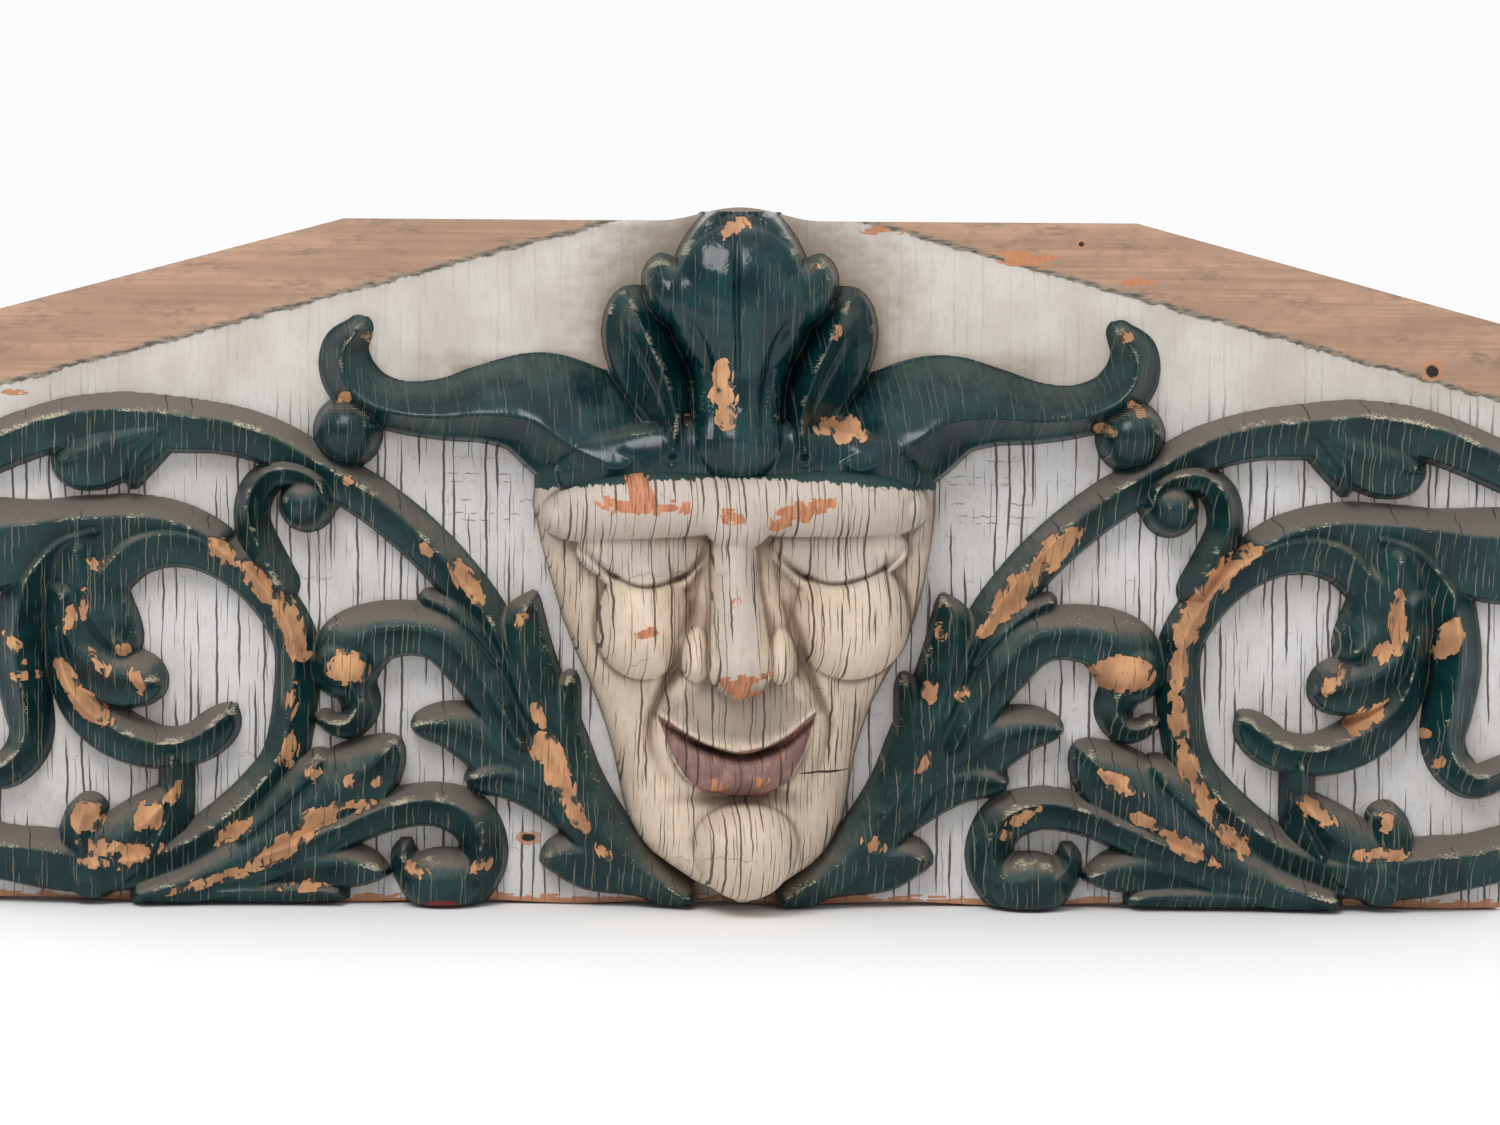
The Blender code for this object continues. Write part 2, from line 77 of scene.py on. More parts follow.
# Camera: metres to a pixel on the board's face, the photograph's width, the pixels of the panel's
# centre line, its foot and the picture's centre, and the photograph's tilt
PIXEL = 0.000669
PHOTO_WIDTH = 1500
AXIS_PX, FOOT_PX, CENTRE_PX = 736, 905, (750, 562.5)
PHOTO_ROLL = math.radians(0.38)
SENSOR_WIDTH = 36.0

# Regions of the sheet that the finer grids cover: low x, low z, high x and high z
SCROLL_INSET = 0.5
SCROLL_INNER_EDGE = 28
SCROLL_TOP = 350
CAP_REGION = (-292, 262, 292, 463)
MASK_REGION = (-146, 0.5, 146, 312)

# Bare strip: height of its lower edge, its slope and where the slope starts; height and width of
# the crust along it
STRIP_HEIGHT = 457.0
STRIP_SLOPE = 0.275
STRIP_START = 80.0
CRUST_HEIGHT = 0.0009
CRUST_WIDTH = 2.5

# Worn arris of the board, how far the finer carvings sink into it, and the lean of the painted
# patterns with depth, across and up
ARRIS_WIDTH = 0.003
ARRIS_DEPTH = 0.0012
SKIRT_SHARE = 0.7
LEAN_ACROSS = 0.15
LEAN_UP = 0.10

# Knife work: heights of its long and short waves, and the relief at which it is full
LONG_WAVE = 0.00030
SHORT_WAVE = 0.00016
WAVE_RELIEF = 0.008

# Grid of the dirt and painted shade along the carving: step, low x, high x, low z and high z
DIRT_AND_SHADE_STEP = 2.0
DIRT_AND_SHADE_X = (-520, 521)
DIRT_AND_SHADE_Z = (-10, 480)

# Drip of red under the left foot curl: x, z, radius across and radius up
RED_DRIP = (-196, 1, 11, 3.5)

# Board. The frame's origin is on the flat back, at mid length and mid height.
PANEL_LENGTH = CAD_HIGH.x - CAD_LOW.x
PANEL_HEIGHT = 0.457
BOARD_THICKNESS = 0.030
TOP_LENGTH = 0.528
RAKE_ANGLE = math.radians(15.0)
PEAK_RISE = 0.009
PEAK_LENGTH = 0.110
EDGE_WEAR = 0.0012
EDGE_WAVES = 7

# Heights of the carving above the board's face
VINE_RELIEF = 0.027
LEAF_RELIEF = 0.023
CURL_RELIEF = 0.031
HORN_RELIEF = 0.048
CAP_RELIEF = 0.066
MASK_RELIEF = 0.060
BROW_RELIEF = 0.084
CHEEK_RELIEF = 0.082
CHIN_RELIEF = 0.078
NOSE_RELIEF = 0.106

# Run of the side walls, depth below the board's face where they end, and filling of the valley
# where one form runs into another: crisp in the vines, softer in the leaves, softest on the mask
WALL_RUN = 0.004
SINK = 0.0015
CRISP_BLEND = 0.001
LEAF_BLEND = 0.005
SOFT_BLEND = 0.016

# How far a groove's sides run out, in its widths, and the least height it is cut in, in its depths
GROOVE_REACH = 3.0
GROOVE_FLOOR = 2.0

# Angle past which an edge is sharp
SHARP_ANGLE = math.radians(40.0)

# The carving is drawn on a sheet in millimetres, x from the centre line and z from the foot.
SHEET_LENGTH = 1028.0
SHEET_HEIGHT = 457.0
STATION_STEP = 1.5
LENGTH_SCALE = PANEL_LENGTH / SHEET_LENGTH
HEIGHT_SCALE = PANEL_HEIGHT / SHEET_HEIGHT

# Cross sections: shift of the crest to the upper side, share of the height left at the upper
# and at the lower edge, and bow of the upper and of the lower side
SECTIONS = {
    "vine": (0.33, 0.0, 0.62, 1.3, 1.8),
    "leaf": (0.10, 0.40, 0.66, 2.2, 2.2),
    "horn": (-0.30, 0.0, 0.30, 1.5, 1.3),
}

# Shares of a form's own height: a ball's top, drops from crest to edge, and the mask's squared
# height at its edge, with the bow of its section
BALL_TOP_SHARE = 1.1
BALL_DROP_SHARE = 0.7
BAND_DROP_SHARE = 0.22
FINIAL_DROP_SHARE = 0.34
MASK_EDGE_SHARE = 0.12
MASK_EDGE_BOW = 2.8

# Ribbons of the scrollwork: stations of x, z and half width, drawn once and mirrored
UPPER_VINE = [(530, 289, 14), (466, 316, 15), (420, 324, 16), (380, 321, 17), (346, 318, 15),
              (318, 311, 14), (291, 298, 13), (241, 268, 13), (198, 230, 13), (164, 185, 12),
              (141, 129, 10)]
UPPER_LEAF = [(388, 313, 12), (407, 307, 17), (424, 300, 20), (437, 296, 18), (445, 294, 11)]
UPPER_LEAF_TOE = [(390, 308, 10), (399, 298, 10), (403, 289, 7), (404, 281, 3)]
SMALL_CURL = [(308, 213, 12), (318, 236, 10), (325, 256, 9), (322, 275, 9), (310, 287, 8),
              (294, 288, 8), (280, 281, 8), (275, 270, 7)]
HEAVY_STEM = [(530, 238, 32), (494, 240, 29), (466, 246, 22), (436, 250, 21), (400, 251, 21),
              (372, 248, 18), (350, 240, 14)]
RING = [(421, 219, 14), (404, 235, 15), (381, 242, 15), (356, 238, 14), (331, 224, 13),
        (311, 203, 12), (297, 178, 12), (295, 148, 12), (302, 102, 12), (316, 77, 14), (338, 55, 15),
        (364, 38, 14), (396, 26, 14), (425, 24, 16), (456, 28, 19), (492, 33, 17), (530, 42, 17)]
OUTER_TENDRIL = [(428, 246, 10), (452, 236, 11), (472, 212, 14), (478, 190, 15), (480, 162, 15),
                 (476, 134, 14), (473, 113, 12), (480, 96, 11), (496, 87, 10), (522, 97, 8)]
RING_HOOK = [(452, 184, 9), (449, 157, 10), (439, 134, 13), (421, 117, 15), (400, 107, 14),
             (380, 104, 12), (361, 108, 12), (348, 117, 11), (341, 126, 5)]
RING_LEAF = [(448, 205, 12), (446, 184, 15), (436, 165, 17), (418, 152, 18), (402, 149, 16), (394, 147, 10)]
RING_LEAF_TOE = [(440, 234, 15), (434, 210, 20), (428, 192, 22), (419, 178, 18), (412, 172, 9)]
BUD_STALK = [(376, 97, 9), (376, 77, 9), (378, 57, 10), (388, 35, 12)]
BUD_INNER = [(432, 18, 15), (415, 34, 20), (399, 48, 18), (385, 62, 12), (375, 75, 4)]
BUD_OUTER = [(430, 20, 15), (437, 40, 14), (437, 52, 12), (434, 60, 9)]
FOOT_LEAF = [(396, 5, 8), (356, 16, 14), (316, 36, 21), (286, 57, 25), (259, 79, 24), (241, 94, 15),
             (230, 106, 4)]
FOOT_LEAF_TOE = [(326, 45, 10), (303, 66, 14), (288, 81, 13), (280, 92, 8)]
FOOT_CURL = [(326, 26, 10), (291, 38, 12), (258, 52, 11), (231, 63, 12), (204, 67, 13), (182, 60, 14),
             (171, 44, 13), (172, 26, 14), (183, 12, 15), (199, 9, 15), (214, 17, 11), (222, 29, 7),
             (222, 38, 3)]
LOW_LEAF = [(396, 7, 6), (346, 12, 10), (306, 20, 15), (276, 25, 15), (254, 24, 11), (237, 21, 3)]
LOW_LEAF_TOE = [(346, 6, 6), (306, 7, 8), (281, 7, 6), (267, 6, 4)]
COMMA_CURL = [(146, 109, 12), (159, 134, 14), (176, 159, 16), (196, 179, 16), (218, 184, 15),
              (241, 181, 17), (257, 171, 21), (263, 159, 20)]
COMMA_TAIL = [(258, 148, 12), (252, 133, 10), (258, 121, 8), (268, 120, 6), (276, 124, 4)]
COMMA_LOBE = [(161, 164, 8), (176, 182, 10), (193, 196, 9), (206, 204, 4)]
MASK_LEAF = [(36, 5, 10), (66, 24, 13), (91, 49, 17), (111, 79, 19), (124, 109, 20), (136, 139, 19),
             (143, 169, 16), (143, 189, 11), (138, 204, 3)]
MASK_LEAF_TOE = [(116, 109, 8), (116, 129, 8), (114, 144, 6), (112, 151, 3)]
SIDE_LEAF = [(126, 84, 14), (151, 97, 20), (171, 111, 18), (191, 119, 13), (206, 120, 8), (215, 119, 2)]
SIDE_LEAF_TOE = [(111, 59, 10), (131, 77, 14), (151, 85, 13), (166, 85, 10), (175, 84, 5)]
CHIN_LEAF = [(46, 10, 6), (71, 20, 12), (96, 28, 17), (114, 32, 12), (128, 30, 3)]

# Ribbons of the cap: stations of x, z, half width and share of the form's relief
CAP_HORN = [(254, 384, 7, 0.44), (263, 370, 13, 0.54), (260, 353, 16, 0.62), (246, 340, 16, 0.68),
            (224, 333, 16, 0.72), (196, 332, 19, 0.80), (166, 336, 25, 0.92), (136, 335, 33, 1.08),
            (108, 320, 40, 1.22), (80, 306, 42, 1.34)]
CAP_BAND = [(-108, 290, 14, 0.84), (-90, 294, 20, 0.94), (-45, 298, 25, 1.0), (0, 298, 26, 1.0),
            (45, 298, 25, 1.0), (90, 294, 20, 0.94), (106, 290, 14, 0.84)]
CAP_LEAF = [(43, 306, 20, 1.10), (42, 324, 19, 1.04), (49, 346, 23, 0.98), (57, 364, 26, 0.95),
            (63, 378, 25, 0.90), (67, 388, 21, 0.84), (70, 396, 15, 0.76), (72, 402, 7, 0.66)]
FINIAL = [(0, 314, 28, 1.16), (0, 335, 28, 1.06), (0, 358, 30, 1.0), (0, 376, 35, 1.02),
          (0, 390, 42, 1.05), (0, 402, 46, 1.07), (0, 412, 42, 1.05)]
FINIAL_CREST = [(0, 398, 44, 1.07), (0, 416, 43, 1.08), (0, 430, 36, 1.0), (0, 441, 27, 0.88),
                (0, 450, 18, 0.72), (0, 457, 10, 0.56), (0, 463, 4, 0.42)]
FINIAL_LOBE = [(35, 400, 16, 0.98), (43, 408, 17, 0.98), (50, 418, 12, 0.90), (53, 428, 5, 0.76)]

# Balls of the scrollwork and the bells of the cap: x, z, radius across and radius up
BALLS = [(288, 267, 16, 16), (196, 14, 27, 20), (261, 161, 20, 18), (261, 315, 20, 21)]

# Mask: stations of z, left edge, right edge and share of the relief at the middle
MASK_OUTLINE = [(6, -2, 11, 0.72), (11, -11, 20, 0.80), (18, -29, 34, 0.86), (28, -44, 49, 0.88),
                (36, -55, 57, 0.88), (45, -63, 62, 0.86), (59, -70, 68, 0.84), (75, -74, 71, 0.84),
                (100, -79, 75, 0.86), (118, -84, 80, 0.90), (135, -90, 86, 0.94), (152, -97, 95, 0.94),
                (172, -106, 106, 0.92), (192, -114, 115, 0.88), (216, -121, 121, 0.84),
                (240, -128, 125, 0.84), (255, -131, 127, 0.95), (267, -134, 128, 1.06),
                (291, -132, 128, 1.06), (304, -126, 124, 0.95)]

# Domes of the mask: x, z, radius across, upward and downward, top and drop as shares of the relief
CHEEKS = [(-61, 186, 32, 50, 32, 1.02, 0.52), (74, 190, 38, 51, 35, 1.03, 0.52)]
CHINS = [(6, 45, 34, 29, 37, 1.05, 0.48)]
NOSE_DOMES = [(2, 163, 21, 28, 18, 1.0, 0.36), (-26, 167, 11, 24, 13, 0.80, 0.26),
              (28, 166, 11, 24, 13, 0.80, 0.26)]
BROW_DOMES = [(0, 259, 22, 22, 17, 1.05, 0.22)]
LID_DOMES = [(-62, 240, 44, 24, 23, 1.04, 0.24), (66, 241, 45, 24, 22, 1.06, 0.24)]
LIP_DOMES = [(1, 136, 47, 38, 28, 1.20, 0.34)]

# Rolls of the mask: stations of x, z, half width and share of the form's relief, then their drop
BROW = ([(-116, 262, 14, 0.70), (-104, 264, 19, 0.80), (-80, 269, 22, 0.92), (-50, 271, 22, 0.99),
         (-20, 271, 20, 0.99), (16, 271, 20, 0.99), (50, 272, 22, 0.99), (82, 272, 22, 0.93),
         (102, 270, 19, 0.82), (112, 269, 14, 0.72)], 0.27)
NOSE_RIDGE = ([(-2, 252, 15, 0.76), (-2, 226, 15, 0.80), (0, 200, 17, 0.90), (2, 172, 20, 0.98)], 0.24)
NOSE_SIDES = ([(0, 236, 22, 0.58), (0, 208, 27, 0.63), (1, 187, 32, 0.65)], 0.18)
LOWER_LIDS = ([(-94, 230, 3, 0.88), (-80, 218, 5, 0.94), (-61, 212, 6, 0.98), (-40, 216, 5, 0.96),
               (-28, 228, 3, 0.90)],
              [(31, 228, 3, 0.90), (47, 217, 5, 0.96), (67, 213, 6, 0.98), (88, 219, 5, 0.94),
               (100, 230, 3, 0.86)])
LID_DROP_SHARE = 0.14
LIPS = ([(-38, 113, 8, 1.02), (-24, 98, 12, 1.12), (2, 92, 13, 1.18), (24, 97, 12, 1.14),
         (40, 115, 8, 1.02)],
        [(-49, 131, 4, 0.98), (-25, 120, 6, 1.12), (2, 113, 6, 1.20), (26, 120, 6, 1.15),
         (50, 134, 4, 0.98)])
LIP_DROP_SHARE = 0.15

# Grooves: points of x and z, then width and depth, in millimetres of the sheet
MASK_GROOVES = [
    ([(-54, 131), (-40, 121), (-26, 113), (2, 105), (26, 111), (40, 120), (54, 134)], 2.2, 11.0),
    ([(-40, 72), (-18, 77), (4, 80), (24, 79), (46, 73)], 5.0, 10.0),
    ([(-106, 243), (-98, 237), (-81, 223), (-60, 217), (-36, 223), (-26, 234), (-22, 241)], 1.8, 8.0),
    ([(24, 241), (29, 235), (46, 223), (66, 220), (91, 227), (104, 237), (110, 243)], 1.8, 8.0),
    ([(-28, 204), (-40, 182), (-42, 164), (-51, 144), (-58, 122), (-54, 98), (-46, 82)], 3.6, 9.0),
    ([(31, 204), (43, 182), (45, 165), (53, 146), (61, 124), (56, 98), (50, 82)], 3.6, 9.0),
]
CAP_GROOVES = [
    ([(-2, 450), (-2, 430), (-2, 400), (-1, 365), (-1, 335)], 2.2, 4.0),
    ([(38, 396), (28, 384), (20, 364), (16, 335), (17, 305)], 3.4, 4.0),
    ([(-38, 396), (-28, 384), (-20, 364), (-16, 335), (-17, 305)], 3.4, 4.0),
    ([(74, 390), (66, 374), (54, 350), (46, 326), (44, 300)], 2.8, 6.0),
    ([(-74, 390), (-66, 374), (-54, 350), (-46, 326), (-44, 300)], 2.8, 6.0),
]


def smooth_path(stations):
    """A Catmull-Rom path through the stations, stepped evenly."""
    points = np.array(stations, dtype=float)
    padded = np.vstack([2 * points[0] - points[1], points, 2 * points[-1] - points[-2]])
    path = []
    for i in range(1, len(padded) - 2):
        p0, p1, p2, p3 = padded[i - 1:i + 3]
        steps = max(2, round(math.dist(p1[:2], p2[:2]) / STATION_STEP))
        for t in np.arange(steps) / steps:
            path.append(p1 + 0.5 * t * (p2 - p0 + t * (2 * p0 - 5 * p1 + 4 * p2 - p3
                                                       + t * (3 * (p1 - p2) + p3 - p0))))
    path.append(padded[-2])
    return np.array(path)


def nearest_on_path(x, z, path):
    """For each point: distance in half widths, signed side, upward share of the side, and values."""
    best = np.full(x.shape, np.inf)
    side = np.zeros(x.shape)
    lean = np.zeros(x.shape)
    width = np.ones(x.shape)
    share = np.ones(x.shape)
    for start, end in zip(path[:-1], path[1:]):
        run = end[:2] - start[:2]
        length = max(np.hypot(*run), 1e-6)
        along = np.clip(((x - start[0]) * run[0] + (z - start[1]) * run[1]) / length ** 2, 0.0, 1.0)
        off_x = x - start[0] - along * run[0]
        off_z = z - start[1] - along * run[1]
        half = start[2] + along * (end[2] - start[2])
        away = np.hypot(off_x, off_z) / half
        across = (off_z * run[0] - off_x * run[1]) / length
        upward = run[0] / length
        closer = away < best
        best = np.where(closer, away, best)
        side = np.where(closer, np.sign(across) * away, side)
        lean = np.where(closer, upward, lean)
        width = np.where(closer, half, width)
        share = np.where(closer, start[3] + along * (end[3] - start[3]), share)
    return best, side, lean, width, share


def near(x, z, points, reach):
    """The sheet points that lie within reach of the given stations."""
    low = points[:, :2].min(axis=0) - reach
    high = points[:, :2].max(axis=0) + reach
    return (x > low[0]) & (x < high[0]) & (z > low[1]) & (z < high[1])


def joined(height, body, past, blend):
    """Height raised to a form that falls below the board over the wall's run past its edge."""
    wall = np.clip(past * LENGTH_SCALE / WALL_RUN, 0.0, None)
    form = body - wall * (body + SINK)
    near_equal = np.clip(blend - np.abs(height - form), 0.0, None)
    valley = np.where(np.minimum(height, form) > blend, near_equal ** 2 / (4 * blend), 0.0)
    return np.maximum(height, form) + valley


def raise_ribbon(height, x, z, stations, relief, section=None, drop=0.0, blend=CRISP_BLEND):
    """Raises a ribbon of the named section, or a roll whose sides stop drop below its crest."""
    path = smooth_path([station if len(station) == 4 else (*station, 1.0) for station in stations])
    path[:, 2] = np.maximum(path[:, 2], 1.0)
    inside = near(x, z, path, path[:, 2].max() + WALL_RUN / LENGTH_SCALE)
    away, side, lean, width, share = nearest_on_path(x[inside], z[inside], path)
    if section:
        crest, upper_edge, lower_edge, upper_bow, lower_bow = SECTIONS[section]
        middle = crest * lean
        rises = side > middle
        q = np.clip(np.where(rises, (side - middle) / (1 - middle), (middle - side) / (1 + middle)), 0, 1)
        up = (1 + np.where(rises, lean, -lean)) / 2
        edge = lower_edge + (upper_edge - lower_edge) * up
        fall = up * q ** upper_bow + (1 - up) * (1 - (1 - q) ** lower_bow)
        body = relief * share * (1 - (1 - edge) * fall)
    else:
        body = relief * share - drop * (1 - np.sqrt(1 - np.clip(away, 0, 1) ** 2))
    height[inside] = joined(height[inside], body, (away - 1) * width, blend)


def raise_dome(height, x, z, centre, radii, top, drop, blend=CRISP_BLEND):
    """Raises a dome with its radii across, upward and downward; its rim stands drop below its top.

    Its lower side meets the other forms crisply and the rest with the given blend.
    """
    across, upward, downward = radii
    up = z - centre[1]
    away = np.hypot((x - centre[0]) / across, up / np.where(up > 0, upward, downward))
    body = top - drop * (1 - np.sqrt(1 - np.clip(away, 0, 1) ** 2))
    upper_share = np.clip(1 + up / downward, 0, 1)
    height[:] = joined(height, body, (away - 1) * across, CRISP_BLEND + (blend - CRISP_BLEND) * upper_share)


def raise_ball(height, x, z, centre, radii):
    """Raises a ball of the scrollwork."""
    raise_dome(height, x, z, centre, radii, BALL_TOP_SHARE * CURL_RELIEF, BALL_DROP_SHARE * CURL_RELIEF)


def raise_mask(height, x, z):
    """Raises the rounded base of the mask inside its outline."""
    table = np.array(MASK_OUTLINE, dtype=float)
    left = np.interp(z, table[:, 0], table[:, 1])
    right = np.interp(z, table[:, 0], table[:, 2])
    share = np.interp(z, table[:, 0], table[:, 3])
    half = (right - left) / 2
    across = np.abs(x - (left + right) / 2) / half
    body = MASK_RELIEF * share * np.sqrt(1 - (1 - MASK_EDGE_SHARE) * np.clip(across, 0, 1) ** MASK_EDGE_BOW)
    past = np.maximum.reduce([(across - 1) * half, table[0, 0] - z, z - table[-1, 0]])
    height[:] = joined(height, body, past, CRISP_BLEND)


def cut_groove(height, x, z, points, width, depth):
    """Cuts a round-bottomed groove along the points, shallower towards its ends."""
    tapers = np.sin(math.pi * (np.arange(len(points)) + 0.5) / len(points))
    path = smooth_path([(px, pz, width, taper) for (px, pz), taper in zip(points, tapers)])
    inside = near(x, z, path, GROOVE_REACH * width)
    away, _, _, _, taper = nearest_on_path(x[inside], z[inside], path)
    deep = depth * LENGTH_SCALE * taper
    height[inside] -= np.where(height[inside] > GROOVE_FLOOR * deep, deep * np.exp(-away ** 2), 0.0)


def raise_scrolls(height, x, z):
    """Raises the vines, leaves, curls and balls of one half; x is measured away from the centre line."""
    for stations in (UPPER_VINE, HEAVY_STEM, RING, OUTER_TENDRIL):
        raise_ribbon(height, x, z, stations, VINE_RELIEF, "vine")
    for stations in (UPPER_LEAF, UPPER_LEAF_TOE, LOW_LEAF, LOW_LEAF_TOE, SIDE_LEAF, SIDE_LEAF_TOE,
                     CHIN_LEAF, COMMA_LOBE, MASK_LEAF_TOE):
        raise_ribbon(height, x, z, stations, LEAF_RELIEF, "leaf", blend=LEAF_BLEND)
    for stations in (BUD_STALK, SMALL_CURL, FOOT_CURL, COMMA_TAIL, RING_HOOK):
        raise_ribbon(height, x, z, stations, CURL_RELIEF, "vine")
    for stations in (COMMA_CURL, RING_LEAF_TOE, RING_LEAF, BUD_INNER, BUD_OUTER, FOOT_LEAF, FOOT_LEAF_TOE,
                     MASK_LEAF):
        raise_ribbon(height, x, z, stations, CURL_RELIEF, "leaf", blend=LEAF_BLEND)
    for cx, cz, across, up in BALLS:
        raise_ball(height, x, z, (cx, cz), (across, up, up))


def raise_cap(height, x, z):
    """Raises the cap: its two horns, band, two side leaves and lobed finial."""
    away = np.abs(x)
    raise_ribbon(height, away, z, CAP_HORN, HORN_RELIEF, "horn")
    raise_ribbon(height, x, z, CAP_BAND, CAP_RELIEF, drop=BAND_DROP_SHARE * CAP_RELIEF, blend=SOFT_BLEND)
    raise_ribbon(height, away, z, CAP_LEAF, CAP_RELIEF, "vine", blend=SOFT_BLEND)
    finial_drop = FINIAL_DROP_SHARE * CAP_RELIEF
    for stations in (FINIAL, FINIAL_CREST):
        raise_ribbon(height, x, z, stations, CAP_RELIEF, drop=finial_drop, blend=SOFT_BLEND)
    raise_ribbon(height, away, z, FINIAL_LOBE, CAP_RELIEF, drop=finial_drop, blend=SOFT_BLEND)
    for points, width, depth in CAP_GROOVES:
        cut_groove(height, x, z, points, width, depth)


def raise_face(height, x, z):
    """Raises the mask and its nose, cheeks, chin, lids, lips and brow."""
    raise_mask(height, x, z)
    for (stations, drop), relief in ((NOSE_SIDES, NOSE_RELIEF), (NOSE_RIDGE, NOSE_RELIEF)):
        raise_ribbon(height, x, z, stations, relief, drop=drop * relief, blend=SOFT_BLEND)
    for domes, relief in ((LIP_DOMES, MASK_RELIEF), (CHINS, CHIN_RELIEF), (CHEEKS, CHEEK_RELIEF),
                          (LID_DOMES, MASK_RELIEF), (NOSE_DOMES, NOSE_RELIEF)):
        for cx, cz, across, up, down, top, drop in domes:
            raise_dome(height, x, z, (cx, cz), (across, up, down), top * relief, drop * relief, SOFT_BLEND)
    for rolls, drop in ((LOWER_LIDS, LID_DROP_SHARE), (LIPS, LIP_DROP_SHARE)):
        for stations in rolls:
            raise_ribbon(height, x, z, stations, MASK_RELIEF, drop=drop * MASK_RELIEF, blend=SOFT_BLEND / 3)
    raise_ribbon(height, x, z, BROW[0], BROW_RELIEF, drop=BROW[1] * BROW_RELIEF)
    for cx, cz, across, up, down, top, drop in BROW_DOMES:
        raise_dome(height, x, z, (cx, cz), (across, up, down), top * BROW_RELIEF, drop * BROW_RELIEF,
                   SOFT_BLEND / 2)
    for points, width, depth in MASK_GROOVES:
        cut_groove(height, x, z, points, width, depth)


def foot_of(x):
    """Height of the board's worn foot."""
    return -PANEL_HEIGHT / 2 + EDGE_WEAR * np.sin(math.tau * EDGE_WAVES * (x / PANEL_LENGTH + 0.5))


def top_of(x):
    """Height of the board's top: level, raked towards the ends, with a low rise for the finial."""
    away = np.abs(x)
    rake = np.clip(away - TOP_LENGTH / 2, 0.0, None) * math.tan(RAKE_ANGLE)
    rise = PEAK_RISE * (1 + np.cos(math.pi * np.clip(2 * away / PEAK_LENGTH, 0.0, 1.0))) / 2
    return PANEL_HEIGHT / 2 - rake + rise


# Where paint has come off to the wood: x, z, half length, half width and tilt in degrees
LEFT_CHIPS = [
    (-342, 235, 14, 6, -40), (-318, 215, 20, 7, -52), (-298, 185, 24, 8, -66), (-289, 166, 6, 5, 0),
    (-296, 138, 11, 3, 80), (-298, 104, 13, 5, 80), (-443, 190, 8, 4, 80), (-434, 200, 8, 3, 85),
    (-446, 150, 14, 6, -60), (-432, 133, 18, 8, -40), (-425, 162, 12, 3, -40), (-409, 170, 4, 4, 0),
    (-398, 150, 8, 4, -70), (-434, 58, 11, 10, 0), (-392, 59, 12, 9, 20), (-422, 39, 16, 4, -5),
    (-427, 28, 11, 4, -5), (-400, 32, 14, 5, 25), (-376, 73, 7, 4, 60), (-338, 48, 16, 5, 30),
    (-345, 18, 24, 3, 18), (-305, 37, 26, 7, 32), (-277, 59, 16, 7, 25), (-281, 89, 6, 5, -60),
    (-255, 84, 4, 3, 0), (-241, 82, 5, 4, 50), (-250, 67, 9, 3, 10), (-284, 12, 14, 2.5, 5),
    (-212, 24, 7, 3, -25), (-170, 27, 6, 4, 40), (-260, 160, 14, 11, -10), (-143, 192, 7, 4, 50),
    (-132, 128, 9, 4, -65), (-127, 105, 14, 10, -60), (-118, 86, 16, 9, -62), (-108, 64, 15, 6, -58),
    (-88, 37, 7, 4, -50), (-260, 284, 7, 3, -25), (-207, 237, 6, 2.5, -45), (-180, 216, 16, 6, -55),
    (-428, 228, 6, 3, -30), (-481, 173, 7, 2.5, -40), (-474, 152, 7, 2.5, 0), (-476, 163, 5, 2, -60),
]
RIGHT_CHIPS = [
    (340, 238, 14, 5, 32), (320, 223, 21, 8, 44), (302, 193, 22, 8, 62), (293, 160, 17, 7, 84),
    (294, 128, 20, 6, -88), (300, 100, 20, 6, -74), (312, 73, 18, 6, -62), (331, 48, 20, 6, -42),
    (438, 195, 19, 7, 88), (428, 172, 8, 4, 70), (402, 160, 7, 4, 50), (394, 153, 8, 4, 70),
    (420, 130, 15, 6, 35), (474, 182, 14, 8, 62), (459, 118, 4, 3, 0), (466, 100, 5, 4, 0),
    (256, 158, 20, 12, 0), (212, 240, 22, 9, 45), (186, 212, 26, 9, 52), (168, 191, 14, 5, 58),
    (135, 184, 6, 4, 90), (150, 145, 6, 4, 70), (127, 146, 8, 6, 90), (124, 98, 8, 3, 65),
    (254, 86, 15, 6, -32), (296, 45, 24, 6, -30), (272, 60, 8, 4, -25), (179, 49, 4, 4, 0),
    (92, 42, 8, 5, -35), (385, 68, 16, 6, -35), (428, 39, 17, 4, 0), (434, 60, 6, 6, 0),
    (190, 62, 10, 4, 30),
]
CAP_CHIPS = [
    (-11, 357, 6, 11, 0), (-10, 342, 9, 8, 0), (-8, 328, 7, 9, 0), (-34, 325, 4, 5, 30), (58, 323, 8, 6, 0),
    (70, 320, 9, 9, 0), (80, 316, 4, 3, 0), (-9, 449, 8, 3, 25), (0, 455, 6, 3, 0), (64, 383, 3, 4, 0),
    (256, 381, 4, 4, 0), (266, 333, 8, 4, -40), (244, 320, 7, 4, -10), (51, 427, 2.5, 2.5, 0),
    (-248, 378, 4, 3, 0), (-262, 338, 4, 3, 30),
]
MASK_CHIPS = [
    (-62, 276, 10, 12, 0), (-72, 271, 18, 5, -4), (-46, 270, 12, 4, 3), (38, 268, 14, 6, 8),
    (54, 272, 10, 4, 12), (-3, 264, 9, 4, -10), (-2, 210, 3, 3, 0), (-1, 157, 18, 5, 12),
    (3, 150, 14, 4, -5), (-58, 188, 7, 2.5, 5), (-10, 87, 7, 3, -5), (16, 90, 5, 3, 10),
    (-68, 288, 5, 8, 0), (30, 262, 9, 4, 25),
]

